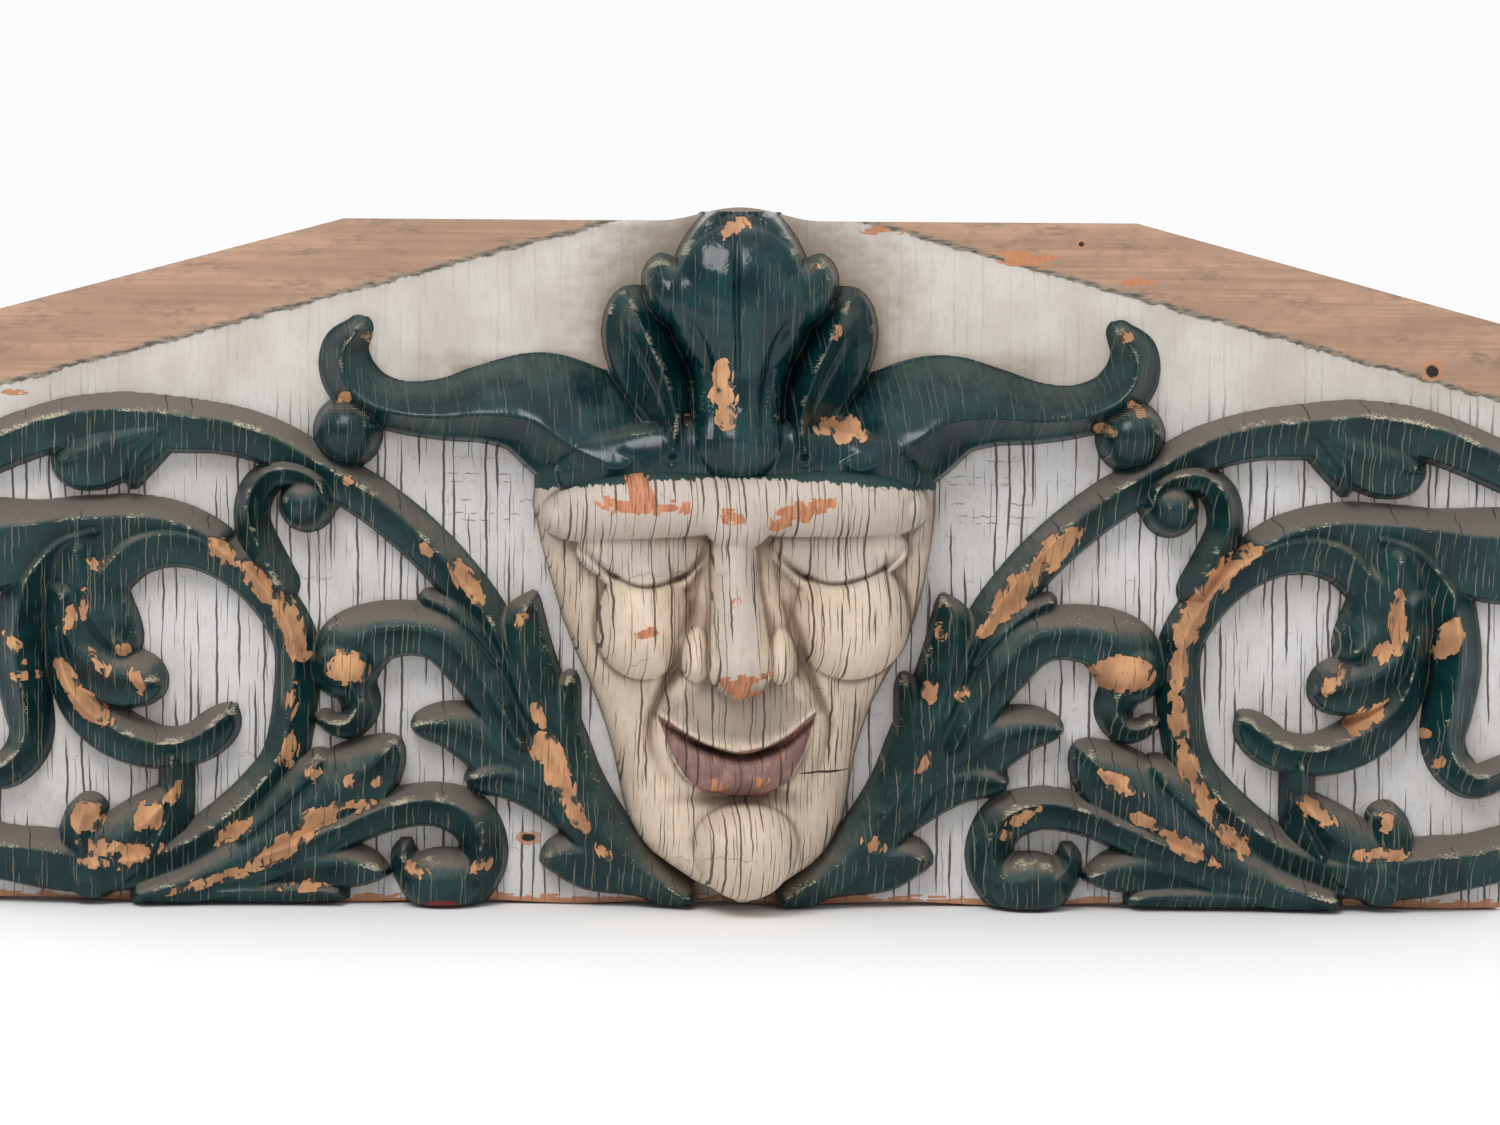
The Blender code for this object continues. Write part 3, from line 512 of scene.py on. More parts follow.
# Nail holes and freshly bared patches of the board and the dark nick of the mask's jaw:
# x, z, radius across and radius up
NAIL_HOLES = [(-140, 43, 4.5, 2.5), (227, 443, 2.0, 1.6), (462, 360, 4.0, 4.2)]
MASK_NICKS = [(58, 93, 17, 0.8)]
RAW_PATCHES = [(188, 433, 18, 5), (257, 418, 16, 2.0), (92, 451, 12, 2.5), (-484, 340, 8, 2)]

# Share of a crack's cell that it may stray, and share of the relief kept, so that the knife work
# stays inside the solid
CRACK_WANDER = 0.5
KEPT_RELIEF = 0.992

# Edges of the painted lips: points of x and z
LIP_TOP = [(-52, 132), (-35, 122), (-20, 114), (0, 109), (20, 113), (35, 121), (52, 135)]
LIP_FOOT = [(-52, 129), (-44, 109), (-34, 92), (-22, 80), (0, 76), (20, 77), (33, 88), (44, 107), (52, 132)]


def raise_both_scrolls(height, x, z):
    """Raises the scrollwork of both halves."""
    raise_scrolls(height, np.abs(x), z)


def raise_cap_and_bells(height, x, z):
    """Raises the cap with the bells under its horns."""
    raise_cap(height, x, z)
    cx, cz, across, up = BALLS[-1]
    raise_ball(height, np.abs(x), z, (cx, cz), (across, up, up))


def lone_height(raise_form, x, z):
    """Height of one form above the board's face, sunk where there is none."""
    height = np.full(x.shape, -SINK)
    raise_form(height, x, z)
    return height


def chip_field(x, z, chips):
    """Millimetres inside the nearest chip, or outside it where negative."""
    field = np.full(x.shape, -20.0)
    for cx, cz, along, across, tilt in chips:
        turn = math.radians(tilt)
        u = (x - cx) * math.cos(turn) + (z - cz) * math.sin(turn)
        v = (z - cz) * math.cos(turn) - (x - cx) * math.sin(turn)
        field = np.maximum(field, (1 - np.hypot(u / along, v / across)) * min(along, across))
    return field


def blurred(values, radius):
    """Box blur of a grid over radius cells, run twice."""
    for _ in range(2):
        for axis in (0, 1):
            padded = np.concatenate([np.repeat(values.take([0], axis), radius + 1, axis), values,
                                     np.repeat(values.take([-1], axis), radius, axis)], axis)
            total = np.cumsum(padded, axis)
            count = values.shape[axis]
            values = (total.take(range(2 * radius + 1, 2 * radius + 1 + count), axis)
                      - total.take(range(count), axis)) / (2 * radius + 1)
    return values


def hand_wobble(x, z):
    """The unevenness of knife work, in metres."""
    slow = np.sin(x / 9.0 + 1.3 * np.sin(z / 17.0)) * np.sin(z / 11.0 + 1.1 * np.sin(x / 23.0))
    quick = np.sin(x / 3.7 + z / 5.1) * np.sin(z / 4.3 - x / 7.9)
    return LONG_WAVE * slow + SHORT_WAVE * quick


def ghost_line(x):
    """Sheet height of the lower edge of the bare raked strip."""
    return STRIP_HEIGHT - STRIP_SLOPE * (np.abs(x) - STRIP_START)


class Socket:
    """A shader value; Python's operators on it add Math nodes."""

    def __init__(self, tree, output):
        self.tree = tree
        self.output = output

    def math(self, operation, *values):
        """Adds one Math node on the values."""
        node = self.tree.nodes.new("ShaderNodeMath")
        node.operation = operation
        for slot, value in zip(node.inputs, values):
            feed(self.tree, slot, value)
        return Socket(self.tree, node.outputs[0])

    def __add__(self, other):
        return self.math("ADD", self, other)

    def __radd__(self, other):
        return self.math("ADD", other, self)

    def __sub__(self, other):
        return self.math("SUBTRACT", self, other)

    def __rsub__(self, other):
        return self.math("SUBTRACT", other, self)

    def __mul__(self, other):
        return self.math("MULTIPLY", self, other)

    def __rmul__(self, other):
        return self.math("MULTIPLY", other, self)

    def __truediv__(self, other):
        return self.math("DIVIDE", self, other)

    def __abs__(self):
        return self.math("ABSOLUTE", self)

    def floor(self):
        """The whole number below."""
        return self.math("FLOOR", self)

    def atleast(self, other):
        """The larger of the two."""
        return self.math("MAXIMUM", self, other)

    def atmost(self, other):
        """The smaller of the two."""
        return self.math("MINIMUM", self, other)

    def step(self, low, high):
        """A smooth rise from 0 at low to 1 at high, or a fall where high is the lower."""
        node = self.tree.nodes.new("ShaderNodeMapRange")
        node.interpolation_type = "SMOOTHSTEP"
        falls = high < low
        feed(self.tree, node.inputs["Value"], self)
        feed(self.tree, node.inputs["From Min"], min(low, high))
        feed(self.tree, node.inputs["From Max"], max(low, high))
        feed(self.tree, node.inputs["To Min"], 1.0 if falls else 0.0)
        feed(self.tree, node.inputs["To Max"], 0.0 if falls else 1.0)
        return Socket(self.tree, node.outputs["Result"])


def feed(tree, slot, value):
    """Links a socket into an input, or sets the input's value."""
    if isinstance(value, Socket):
        tree.links.new(value.output, slot)
    else:
        slot.default_value = value


def rgb(red, green, blue):
    """A colour given in display values from 0 to 255."""
    return tuple(((channel / 255 + 0.055) / 1.055) ** 2.4 for channel in (red, green, blue)) + (1.0,)


class Finish:
    """A material being made. Its pattern runs on a flat sheet in millimetres that leans a little
    with depth, so that lines drawn on it also run down the side walls."""

    def __init__(self, name):
        self.material = bpy.data.materials.new(name)
        self.material.use_nodes = True
        self.tree = self.material.node_tree
        self.shader = self.tree.nodes["Principled BSDF"]
        place = self.add("ShaderNodeTexCoord", output="Object")
        parts = self.tree.nodes.new("ShaderNodeSeparateXYZ")
        feed(self.tree, parts.inputs[0], place)
        along, deep, up = (Socket(self.tree, output) for output in parts.outputs)
        self.along = along * (1 / LENGTH_SCALE)
        self.above = (up + PANEL_HEIGHT / 2) * (1 / HEIGHT_SCALE)
        self.x = (along + deep * LEAN_ACROSS) * 1000.0
        self.z = (up + deep * LEAN_UP) * 1000.0
        self.sheet = self.add("ShaderNodeCombineXYZ", inputs={0: self.x, 1: self.z})

    def add(self, kind, settings=None, inputs=None, output=0):
        """Adds a node, sets its settings, feeds its inputs and returns one output."""
        node = self.tree.nodes.new(kind)
        for name, value in (settings or {}).items():
            setattr(node, name, value)
        for name, value in (inputs or {}).items():
            feed(self.tree, node.inputs[name], value)
        return Socket(self.tree, node.outputs[output])

    def scaled(self, across, up, shift):
        """The sheet, shifted and counted in features of the given sizes in millimetres."""
        return self.add("ShaderNodeMapping", inputs={"Vector": self.sheet, "Location": shift,
                                                     "Scale": (1 / across, 1 / up, 1.0)})

    def noise(self, across, up, detail=2.0, seed=0.0):
        """Noise from 0 to 1 with features of the given sizes in millimetres."""
        where = self.scaled(across, up, (seed * 7.3, seed * 3.1, 0.0))
        return self.add("ShaderNodeTexNoise", {"noise_dimensions": "2D"},
                        {"Vector": where, "Scale": 1.0, "Detail": detail, "Roughness": 0.6})

    def cells(self, across, up, seed=0.0):
        """A random value from 0 to 1 for each cell of a squarish net, for angular edges.

        The cell's random colour is made a number by the Math node of the product.
        """
        where = self.scaled(across, up, (seed, seed * 2.0, 0.0))
        return self.add("ShaderNodeTexVoronoi", {"voronoi_dimensions": "2D", "distance": "CHEBYCHEV"},
                        {"Vector": where, "Scale": 1.0}, "Color") * 1.0

    def spot(self, x, z, across, up):
        """Squared distance from a place on the sheet, in radii."""
        right = (self.along - x) / across
        over = (self.above - z) / up
        return right * right + over * over

    def attribute(self, name):
        """A value stored on the mesh."""
        return self.add("ShaderNodeAttribute", {"attribute_name": name}, output="Fac")

    def mix(self, factor, first, second):
        """Blends two colours."""
        node = self.tree.nodes.new("ShaderNodeMix")
        node.data_type = "RGBA"
        feed(self.tree, node.inputs[0], factor)
        feed(self.tree, node.inputs[6], first)
        feed(self.tree, node.inputs[7], second)
        return Socket(self.tree, node.outputs[2])

    def cracks(self, spacing, length, width, amount, seed=0.0, level=False):
        """Nearly straight cracks up the sheet, or level ones: 1 inside, tapering at their ends."""
        here, far = (self.z, self.x) if level else (self.x, self.z)
        reach = (length * 0.5, spacing * 4) if level else (spacing * 4, length * 0.5)
        wander = self.noise(*reach, 3.0, seed + 1)
        place = here / spacing + (wander - 0.5) * CRACK_WANDER + seed * 11.0
        line = place.floor()
        chance = self.add("ShaderNodeTexWhiteNoise", {"noise_dimensions": "1D"}, {"W": line + seed})
        away = abs(place - line - (chance * 0.6 + 0.2)) * spacing
        spot = self.add("ShaderNodeCombineXYZ", inputs={0: line * 3.7 + seed, 1: far / length})
        opening = self.add("ShaderNodeTexNoise", {"noise_dimensions": "2D"},
                           {"Vector": spot, "Scale": 1.0, "Detail": 1.0, "Roughness": 0.6})
        half = ((opening - (1 - amount)) * (3.0 * width)).atmost(width / 2)
        return (half - away).step(-0.12, 0.18) * half.step(0.0, 0.1)

    def bare_pine(self):
        """Colour of bare pine with its grain along the board."""
        grain = self.noise(120, 1.8, 2.0, 5)
        broad = self.noise(170, 15, 2.0, 6)
        warm = self.mix(broad.step(0.35, 0.7), rgb(184, 149, 124), rgb(164, 133, 111))
        return self.mix(grain.step(0.4, 0.8) * 0.5, warm, rgb(146, 112, 92))

    def chipped_pine(self):
        """Colour of the fresher wood in the chips, with dark checks up the sheet."""
        broad = self.noise(24, 30, 2.0, 6)
        wood = self.mix(broad.step(0.35, 0.65), rgb(206, 156, 112), rgb(178, 132, 98))
        wood = self.mix(self.noise(3, 9, 2.0, 7).step(0.5, 0.75) * 0.5, wood, rgb(162, 112, 78))
        return self.mix(self.cracks(5.0, 26, 0.6, 0.5, 2.0) * 0.75, wood, rgb(84, 58, 42))

    def ragged(self, cell, wildness):
        """Millimetres inside a chip, its edge broken along small squarish cells."""
        fine = self.noise(1.6, 3.0, 2.0, 4)
        return (self.attribute("chip") + (self.cells(cell, cell * 1.7, 3.0) - 0.5) * wildness
                + (fine - 0.5) * 0.9)

    def finish(self, colour, roughness, relief, strength=0.6):
        """Wires the shader: colour, roughness and a bump from a height in millimetres."""
        feed(self.tree, self.shader.inputs["Base Color"], colour)
        feed(self.tree, self.shader.inputs["Roughness"], roughness)
        bump = self.add("ShaderNodeBump", None, {"Height": relief, "Strength": strength, "Distance": 0.001},
                        "Normal")
        feed(self.tree, self.shader.inputs["Normal"], bump)
        return self.material


def ground_paint():
    """Off-white ground, cracked up the sheet, darkened along the carving and round the cap by dirt and
    painted shade, with the bare raked strip above it.
    """
    f = Finish("ground_paint")
    strip = f.attribute("strip")
    grime_and_painted_shade = f.attribute("grime_and_painted_shade")
    dense = f.attribute("dense")
    cloud = f.noise(60, 80, 3.0)
    fine = f.noise(3, 12, 2.0, 2)
    blot = f.noise(14, 9, 3.0, 3)
    cool = f.mix(cloud.step(0.3, 0.7), rgb(216, 214, 214), rgb(203, 199, 195))
    warm = f.mix(cloud.step(0.3, 0.7), rgb(207, 202, 195), rgb(192, 185, 175))
    white = f.mix(dense, warm, cool)
    white = f.mix(fine.step(0.5, 0.8) * 0.35, white, rgb(178, 171, 164))
    # browner by the carving and round the cap: dirt, and painted shade along the foot of the carving
    white = f.mix((grime_and_painted_shade + (blot - 0.5) * 0.6).step(0.15, 1.0) * 0.85, white, rgb(146, 130, 114))
    wide = f.cracks(9.0, 85, 1.6, 0.57, 1.0)
    cracks = wide.atleast(f.cracks(6.0, 45, 0.8, 0.5, 2.0) * 0.7)
    cross = f.cracks(30, 12, 0.7, 0.44, 3.0, level=True) * 0.6
    net = (f.attribute("net") + (blot - 0.5) * 0.8).step(0.1, 0.5)
    bricks = f.cracks(9, 9, 0.9, 0.54, 5.0, level=True) * net
    cracks = cracks.atleast((cross * dense).atleast(bricks * 0.8)) * (0.12 + 0.88 * dense)
    colour = f.mix(cracks * 0.92, white, rgb(70, 62, 56))
    pine = f.mix(blot.step(0.45, 0.75) * 0.5, f.bare_pine(), rgb(150, 124, 104))
    smudge = f.noise(44, 14, 3.0, 7).step(0.48, 0.75) * f.noise(9, 2.5, 3.0, 8).step(0.35, 0.65)
    pine = f.mix(smudge * 0.55, pine, rgb(104, 92, 84))
    edge = strip + (blot - 0.5) * 6.0 + (fine - 0.5) * 1.5
    bare = edge.step(-0.6, 0.6)
    streak = f.noise(12, 2.5, 2.0, 9)
    crust = abs(edge - 1.0).step(3.6, 0.8)
    colour = f.mix(bare, colour, pine)
    colour = f.mix(crust * (0.25 + 0.5 * bare), colour, rgb(128, 126, 114))
    colour = f.mix(crust * streak.step(0.35, 0.65) * bare * 0.9, colour, rgb(72, 68, 62))
    fresh = (f.attribute("raw") + (f.cells(9, 3, 5.0) - 0.5) * 7.0).step(-0.2, 0.2)
    colour = f.mix(fresh * 0.9, colour, f.mix(fine, rgb(206, 140, 92), rgb(168, 108, 74)))
    worn = (f.attribute("edge") + (fine - 0.5) * 2.0).step(0.6, -0.4)
    colour = f.mix(worn * 0.7, colour, rgb(74, 64, 56))
    for x, z, across, up in NAIL_HOLES:
        place = f.spot(x, z, across, up)
        rim = place + (f.cells(4, 3, 7.0) - 0.5) * 5.0
        colour = f.mix(rim.step(3.6, 3.0) * 0.8, colour, rgb(190, 132, 92))
        # the dark inside of each nail hole is painted shade
        colour = f.mix((place + (fine - 0.5)).step(1.4, 0.7), colour, rgb(34, 24, 20))
    relief = fine * 0.15 - wide * dense * 0.6
    return f.finish(colour, 0.75, relief, 0.8)


def bare_back():
    """Plain sawn pine of the back and the cut ends."""
    f = Finish("sawn_pine")
    saw = f.noise(200, 1.6, 2.0, 2)
    age = f.noise(420, 34, 3.0, 3)
    colour = f.mix(age.step(0.35, 0.7) * 0.5, f.bare_pine(), rgb(142, 116, 92))
    colour = f.mix(saw.step(0.5, 0.8) * 0.3, colour, rgb(104, 84, 66))
    return f.finish(colour, 0.8, saw * 0.3)


def green_paint(name, gloss, clean):
    """Dark blue-green paint, darker in hollows by dirt and painted shade, dusty on upper slopes, worn pale
    along upper crests with painted highlights there, bare in chips.
    """
    f = Finish(name)
    dust = f.attribute("dust") - clean
    cloud = f.noise(40, 30, 3.0)
    fine = f.noise(2.4, 7, 2.0, 2)
    f.shader.inputs["Specular IOR Level"].default_value = 0.36
    green = f.mix(cloud.step(0.35, 0.7), rgb(2, 36, 40), rgb(12, 54, 54))
    hollow_dirt_and_shade = f.attribute("hollow_dirt_and_shade")
    # darker in the hollows: dirt and painted shade
    green = f.mix(hollow_dirt_and_shade.step(0.2, 1.2) * 0.5, green, rgb(20, 30, 30))
    hair = f.cracks(5.6, 40, 0.6, 0.54, 1.0).atleast(f.cracks(7.5, 20, 0.5, 0.53, 4.0))
    green = f.mix(hair * (0.55 - 0.4 * clean), green, rgb(158, 152, 128))
    dusty = dust + (fine - 0.5) * 0.35 + (cloud - 0.5) * 0.6
    green = f.mix(dusty.step(0.0, 0.6) * 0.85, green, rgb(70, 82, 76))
    green = f.mix(dusty.step(0.45, 0.9) * 0.9, green, rgb(112, 104, 96))
    dark = f.cracks(14, 30, 1.0, 0.5, 6.0) * dusty.step(0.1, 0.5)
    green = f.mix(dark * 0.85, green, rgb(34, 30, 28))
    patches = f.noise(22, 12, 2.0, 7).step(0.48, 0.62) * f.attribute("dust").step(-0.4, -0.1)
    patches = patches * (1.0 - 0.6 * clean)
    # pale specks on upward-facing crests: worn paint and painted highlight
    crest_wear_and_highlight = f.attribute("crest") + (f.noise(2.2, 0.9, 2.0, 3) - 0.5) * 3.4
    green = f.mix(crest_wear_and_highlight.step(1.2, 1.35) * patches * 0.8, green, rgb(196, 188, 162))
    ragged = f.ragged(5.0, 5.5)
    bare = ragged.step(-0.15, 0.15)
    rim = ragged.step(-1.0, -0.1) * (1 - bare)
    islands = f.cells(3.5, 6.0, 6.0).step(0.7, 0.72) * bare * ragged.step(3.5, 1.5)
    colour = f.mix(rim * 0.7, green, rgb(30, 28, 26))
    colour = f.mix(bare, colour, f.chipped_pine())
    colour = f.mix(islands * 0.9, colour, rgb(22, 56, 58))
    colour = f.mix((f.spot(*RED_DRIP) + (fine - 0.5) * 0.8).step(1.1, 0.9), colour, rgb(112, 34, 30))
    relief = fine * 0.12 + cloud * 0.3 - bare * 0.6
    rough = (dusty.step(0.0, 0.6) * 0.4).atleast(bare * 0.4) + (gloss + fine * 0.1)
    return f.finish(colour, rough, relief, 0.8)


def mask_paint():
    """Cream flesh paint in wide cracks, grey on the brow and nose, darkened in valleys and hollows by dirt
    and painted shade, with dull maroon lips.
    """
    f = Finish("flesh_paint")
    cloud = f.noise(45, 60, 3.0)
    fine = f.noise(2.6, 14, 2.0, 2)
    blot = f.noise(9, 13, 3.0, 3)
    cream = f.mix(cloud.step(0.3, 0.75), rgb(220, 201, 180), rgb(204, 184, 163))
    greys = (f.attribute("grey") + (blot - 0.5) * 0.9).step(0.25, 0.8)
    colour = f.mix(greys * 0.8, cream, rgb(184, 174, 165))
    colour = f.mix(fine.step(0.45, 0.8) * 0.45, colour, rgb(178, 156, 134))
    # browner in the valleys and eye corners: dirt and painted shade
    dirt_and_shade = (f.attribute("valley") + (blot - 0.5) * 0.5).step(0.1, 1.1)
    colour = f.mix(dirt_and_shade * 0.75, colour, rgb(150, 126, 104))
    hollow_dirt_and_shade = (f.attribute("hollow_dirt_and_shade") + (blot - 0.5) * 0.6).step(0.4, 1.4)
    # darker brown in the hollows: dirt and painted shade
    colour = f.mix(hollow_dirt_and_shade * 0.45, colour, rgb(104, 84, 68))
    flap = (f.attribute("flap") + (blot - 0.5) * 0.6).step(0.3, 0.8)
    colour = f.mix(flap * 0.8, colour, rgb(146, 131, 117))
    maroon = f.mix(blot.step(0.35, 0.7), rgb(108, 70, 68), rgb(140, 104, 96))
    lips = (f.attribute("lips") + (blot - 0.5) * 2.0).step(-0.5, 0.5)
    colour = f.mix(lips * 0.92, colour, maroon)
    lipspots = (blot + (fine - 0.5) * 0.5).step(0.66, 0.72) * lips
    colour = f.mix(lipspots * 0.6, colour, rgb(184, 120, 88))
    rim = (f.attribute("rim") + (fine - 0.5) * 6.0).step(-0.3, 0.3)
    colour = f.mix(rim, colour, rgb(20, 58, 56))
    wide = f.cracks(9.0, 60, 1.3, 0.56, 1.0)
    cracks = wide.atleast(f.cracks(4.2, 34, 0.7, 0.56, 2.0) * 0.85)
    cracks = cracks.atleast(f.cracks(26, 22, 0.6, 0.44, 3.0, level=True) * 0.7)
    colour = f.mix(f.ragged(4.0, 6.0).step(-0.2, 0.2), colour,
                   f.mix(fine.step(0.4, 0.6), rgb(196, 132, 92), rgb(166, 106, 76)))
    for x, z, across, up in MASK_NICKS:
        place = f.spot(x, z, across, up) + (blot - 0.5) * 1.6
        colour = f.mix(place.step(1.2, 0.8), colour, rgb(66, 46, 34))
    colour = f.mix(cracks * 0.9, colour, rgb(70, 54, 42))
    relief = fine * 0.2 + cloud * 0.3 - wide * 0.8
    return f.finish(colour, 0.62, relief, 0.9)


def store(mesh, name, values):
    """Stores one number for each vertex."""
    layer = mesh.attributes.new(name, "FLOAT", "POINT")
    layer.data.foreach_set("value", np.asarray(values, dtype=np.float32))


def coordinates(mesh):
    """Vertex positions as an array."""
    flat = np.empty(len(mesh.vertices) * 3, dtype=np.float32)
    mesh.vertices.foreach_get("co", flat)
    return flat.reshape(-1, 3).astype(float)


def sheet_places(mesh):
    """Vertex places on the sheet, x and z in millimetres."""
    place = coordinates(mesh)
    return place[:, 0] / LENGTH_SCALE, (place[:, 2] + PANEL_HEIGHT / 2) / HEIGHT_SCALE


def finished_piece(name, bm, materials):
    """Makes the object, smooth all over, riding on the panel and standing for its solid."""
    mesh = bpy.data.meshes.new(name)
    bm.to_mesh(mesh)
    bm.free()
    for material in materials:
        mesh.materials.append(material)
    mesh.shade_smooth()
    obj = bpy.data.objects.new(name, mesh)
    bpy.context.scene.collection.objects.link(obj)
    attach(obj, BODY)
    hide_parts(NODE)
    return obj


def cells_to_keep(raised):
    """Grid cells with a raised corner, widened by one and free of cells that touch only at a corner."""
    cells = raised[:-1, :-1] | raised[1:, :-1] | raised[:-1, 1:] | raised[1:, 1:]
    kept = cells.copy()
    kept[1:] |= cells[:-1]
    kept[:-1] |= cells[1:]
    wide = kept.copy()
    kept[:, 1:] |= wide[:, :-1]
    kept[:, :-1] |= wide[:, 1:]
    pinches = True
    while pinches:
        rising = kept[:-1, :-1] & kept[1:, 1:] & ~kept[1:, :-1] & ~kept[:-1, 1:]
        kept[1:, :-1] |= rising
        falling = kept[1:, :-1] & kept[:-1, 1:] & ~kept[:-1, :-1] & ~kept[1:, 1:]
        kept[:-1, :-1] |= falling
        pinches = bool(rising.any() or falling.any())
    return kept


def carve(name, region, step, raise_form, materials, fields):
    """Carves a closed relief on the board's face: a grid lifted to the height, cut where it is sunk.

    region is the sheet's low x, low z, high x and high z, step the grid's step in millimetres,
    and fields makes the stored values from the grids of x, z and height.
    """
    low_x, low_z, high_x, high_z = region
    across = round((high_x - low_x) / step)
    up = round((high_z - low_z) / step)
    x, z = np.meshgrid(np.linspace(low_x, high_x, across + 1), np.linspace(low_z, high_z, up + 1))
    height = lone_height(raise_form, x.ravel(), z.ravel()).reshape(x.shape) * KEPT_RELIEF
    height += hand_wobble(x, z) * np.clip(height / WAVE_RELIEF, 0, 1)
    kept = cells_to_keep(height > -SINK / 2)
    bm = bmesh.new()
    verts = bmesh.ops.create_grid(bm, x_segments=across, y_segments=up, size=0.5)["verts"]
    foot = -PANEL_HEIGHT / 2
    for vert, px, pz, lift in zip(verts, x.ravel(), z.ravel(), height.ravel()):
        vert.co = (px * LENGTH_SCALE, -BOARD_THICKNESS - lift, foot + pz * HEIGHT_SCALE)
    bm.faces.ensure_lookup_table()
    dropped = [bm.faces[i] for i in np.flatnonzero(~kept.ravel())]
    bmesh.ops.delete(bm, geom=dropped, context="FACES")
    rim = [edge for edge in bm.edges if edge.is_boundary]
    skirt = bmesh.ops.extrude_edge_only(bm, edges=rim)["geom"]
    for item in skirt:
        if isinstance(item, bmesh.types.BMVert):
            item.co.y = -BOARD_THICKNESS * SKIRT_SHARE
    bmesh.ops.triangle_fill(bm, edges=[edge for edge in bm.edges if edge.is_boundary], use_beauty=False)
    bmesh.ops.recalc_face_normals(bm, faces=bm.faces)
    obj = finished_piece(name, bm, materials)
    place_x, place_z = sheet_places(obj.data)
    column = np.clip(np.round((place_x - low_x) / (high_x - low_x) * across).astype(int), 0, across)
    row = np.clip(np.round((place_z - low_z) / (high_z - low_z) * up).astype(int), 0, up)
    for field, values in fields(x, z, height * 1000, step).items():
        store(obj.data, field, values[row, column])
    return obj


def common_fields(height, step):
    """Dust on upward slopes, worn crests that also carry painted highlights, and hollows darkened by dirt
    and painted shade, from the shape of the carving.
    """
    soft = blurred(height, max(1, round(1.5 / step)))
    slope_z, slope_x = np.gradient(soft, step, step)
    lean = -slope_z / np.sqrt(1 + slope_x ** 2 + slope_z ** 2)
    proud = (height - blurred(height, round(4.0 / step))) / 3.0
    return {"dust": np.clip((lean - 0.25) / 0.6, -0.5, 1.2), "crest": np.clip(proud, -1.5, 1.5),
            "hollow_dirt_and_shade": np.clip(-proud, 0, 1.5)}


def chipped_fields(chips):
    """The function that gives the stored values of a piece with these chips."""
    def fields(x, z, height, step):
        return {**common_fields(height, step), "chip": chip_field(x, z, chips)}
    return fields


def mask_fields(x, z, height, step):
    """Stored values of the mask, with the grey of brow and nose, the valleys for dirt and painted shade,
    and the painted lips.
    """
    fields = chipped_fields(MASK_CHIPS)(x, z, height, step)
    brow = np.clip((z - 232) / 16, 0, 1)
    nose = np.clip(1.2 - np.abs(x) / 20, 0, 1) * np.clip((z - 140) / 10, 0, 1)
    lids = np.clip(1.4 - np.hypot((np.abs(x) - 66) / 44, (z - 232) / 16), 0, 1)
    flap = np.clip(1.5 - np.hypot(x / 48, (z - 136) / 22), 0, 1)
    fields["grey"] = np.maximum.reduce([brow, nose, lids])
    fields["flap"] = flap * np.clip((z - np.interp(x, *np.array(LIP_TOP, dtype=float).T)) / 4, 0, 1)
    fields["valley"] = np.clip((blurred(height, round(9.0 / step)) - height) / 7.0, 0, 1.5)
    top = np.array(LIP_TOP, dtype=float)
    low = np.array(LIP_FOOT, dtype=float)
    fields["lips"] = np.minimum.reduce([np.interp(x, top[:, 0], top[:, 1]) - z, top[-1, 0] - np.abs(x),
                                        z - np.interp(x, low[:, 0], low[:, 1])])
    fields["rim"] = z - 289.0 + 0.0006 * x ** 2
    return fields


def board_grid(across, up):
    """The board as a closed slab with a grid for its face and sharp corners round it."""
    bm = bmesh.new()
    verts = bmesh.ops.create_grid(bm, x_segments=across, y_segments=up, size=0.5)["verts"]
    shares = np.array([vert.co[:2] for vert in verts]) + 0.5
    x = (shares[:, 0] - 0.5) * PANEL_LENGTH
    z = foot_of(x) + shares[:, 1] * (top_of(x) - foot_of(x))
    sheet_x = x / LENGTH_SCALE
    sheet_z = (z + PANEL_HEIGHT / 2) / HEIGHT_SCALE
    crust = CRUST_HEIGHT * np.exp(-((sheet_z - ghost_line(sheet_x)) / CRUST_WIDTH) ** 2)
    inner = np.clip(np.minimum(shares[:, 1], 1 - shares[:, 1]) * PANEL_HEIGHT / ARRIS_WIDTH, 0, 1)
    lift = (crust + hand_wobble(sheet_x, sheet_z) * 0.5) * inner - ARRIS_DEPTH * (1 - inner) ** 2
    for vert, px, pz, out in zip(verts, x, z, lift):
        vert.co = (px, -BOARD_THICKNESS - out, pz)
    front = list(bm.faces)
    rim = [edge for edge in bm.edges if edge.is_boundary]
    skirt = bmesh.ops.extrude_edge_only(bm, edges=rim)["geom"]
    for item in skirt:
        if isinstance(item, bmesh.types.BMVert):
            item.co.y = 0.0
    bmesh.ops.triangle_fill(bm, edges=[edge for edge in bm.edges if edge.is_boundary], use_beauty=False)
    for face in bm.faces:
        face.material_index = 1
    for face in front:
        face.material_index = 0
    bmesh.ops.recalc_face_normals(bm, faces=bm.faces)
    for edge in bm.edges:
        edge.smooth = edge.calc_face_angle(0.0) < SHARP_ANGLE
    return bm


class PanelSettings(bpy.types.PropertyGroup):
    """Sizes and steps of the dressed panel."""

    board_step: bpy.props.FloatProperty(
        name="Board step", description="Grid step of the board's face, in mm", default=2.6, min=1.0)
    scroll_step: bpy.props.FloatProperty(
        name="Scroll step", description="Grid step of the scrollwork, in mm", default=1.1, min=0.5)
    mask_step: bpy.props.FloatProperty(
        name="Mask step", description="Grid step of the mask and cap, in mm", default=1.0, min=0.5)
    camera_distance: bpy.props.FloatProperty(
        name="Camera distance", description="From the lens to the board's face", default=3.0, unit="LENGTH")
    camera_height: bpy.props.FloatProperty(
        name="Camera height", description="Angle above level", default=math.radians(4.0), subtype="ANGLE")


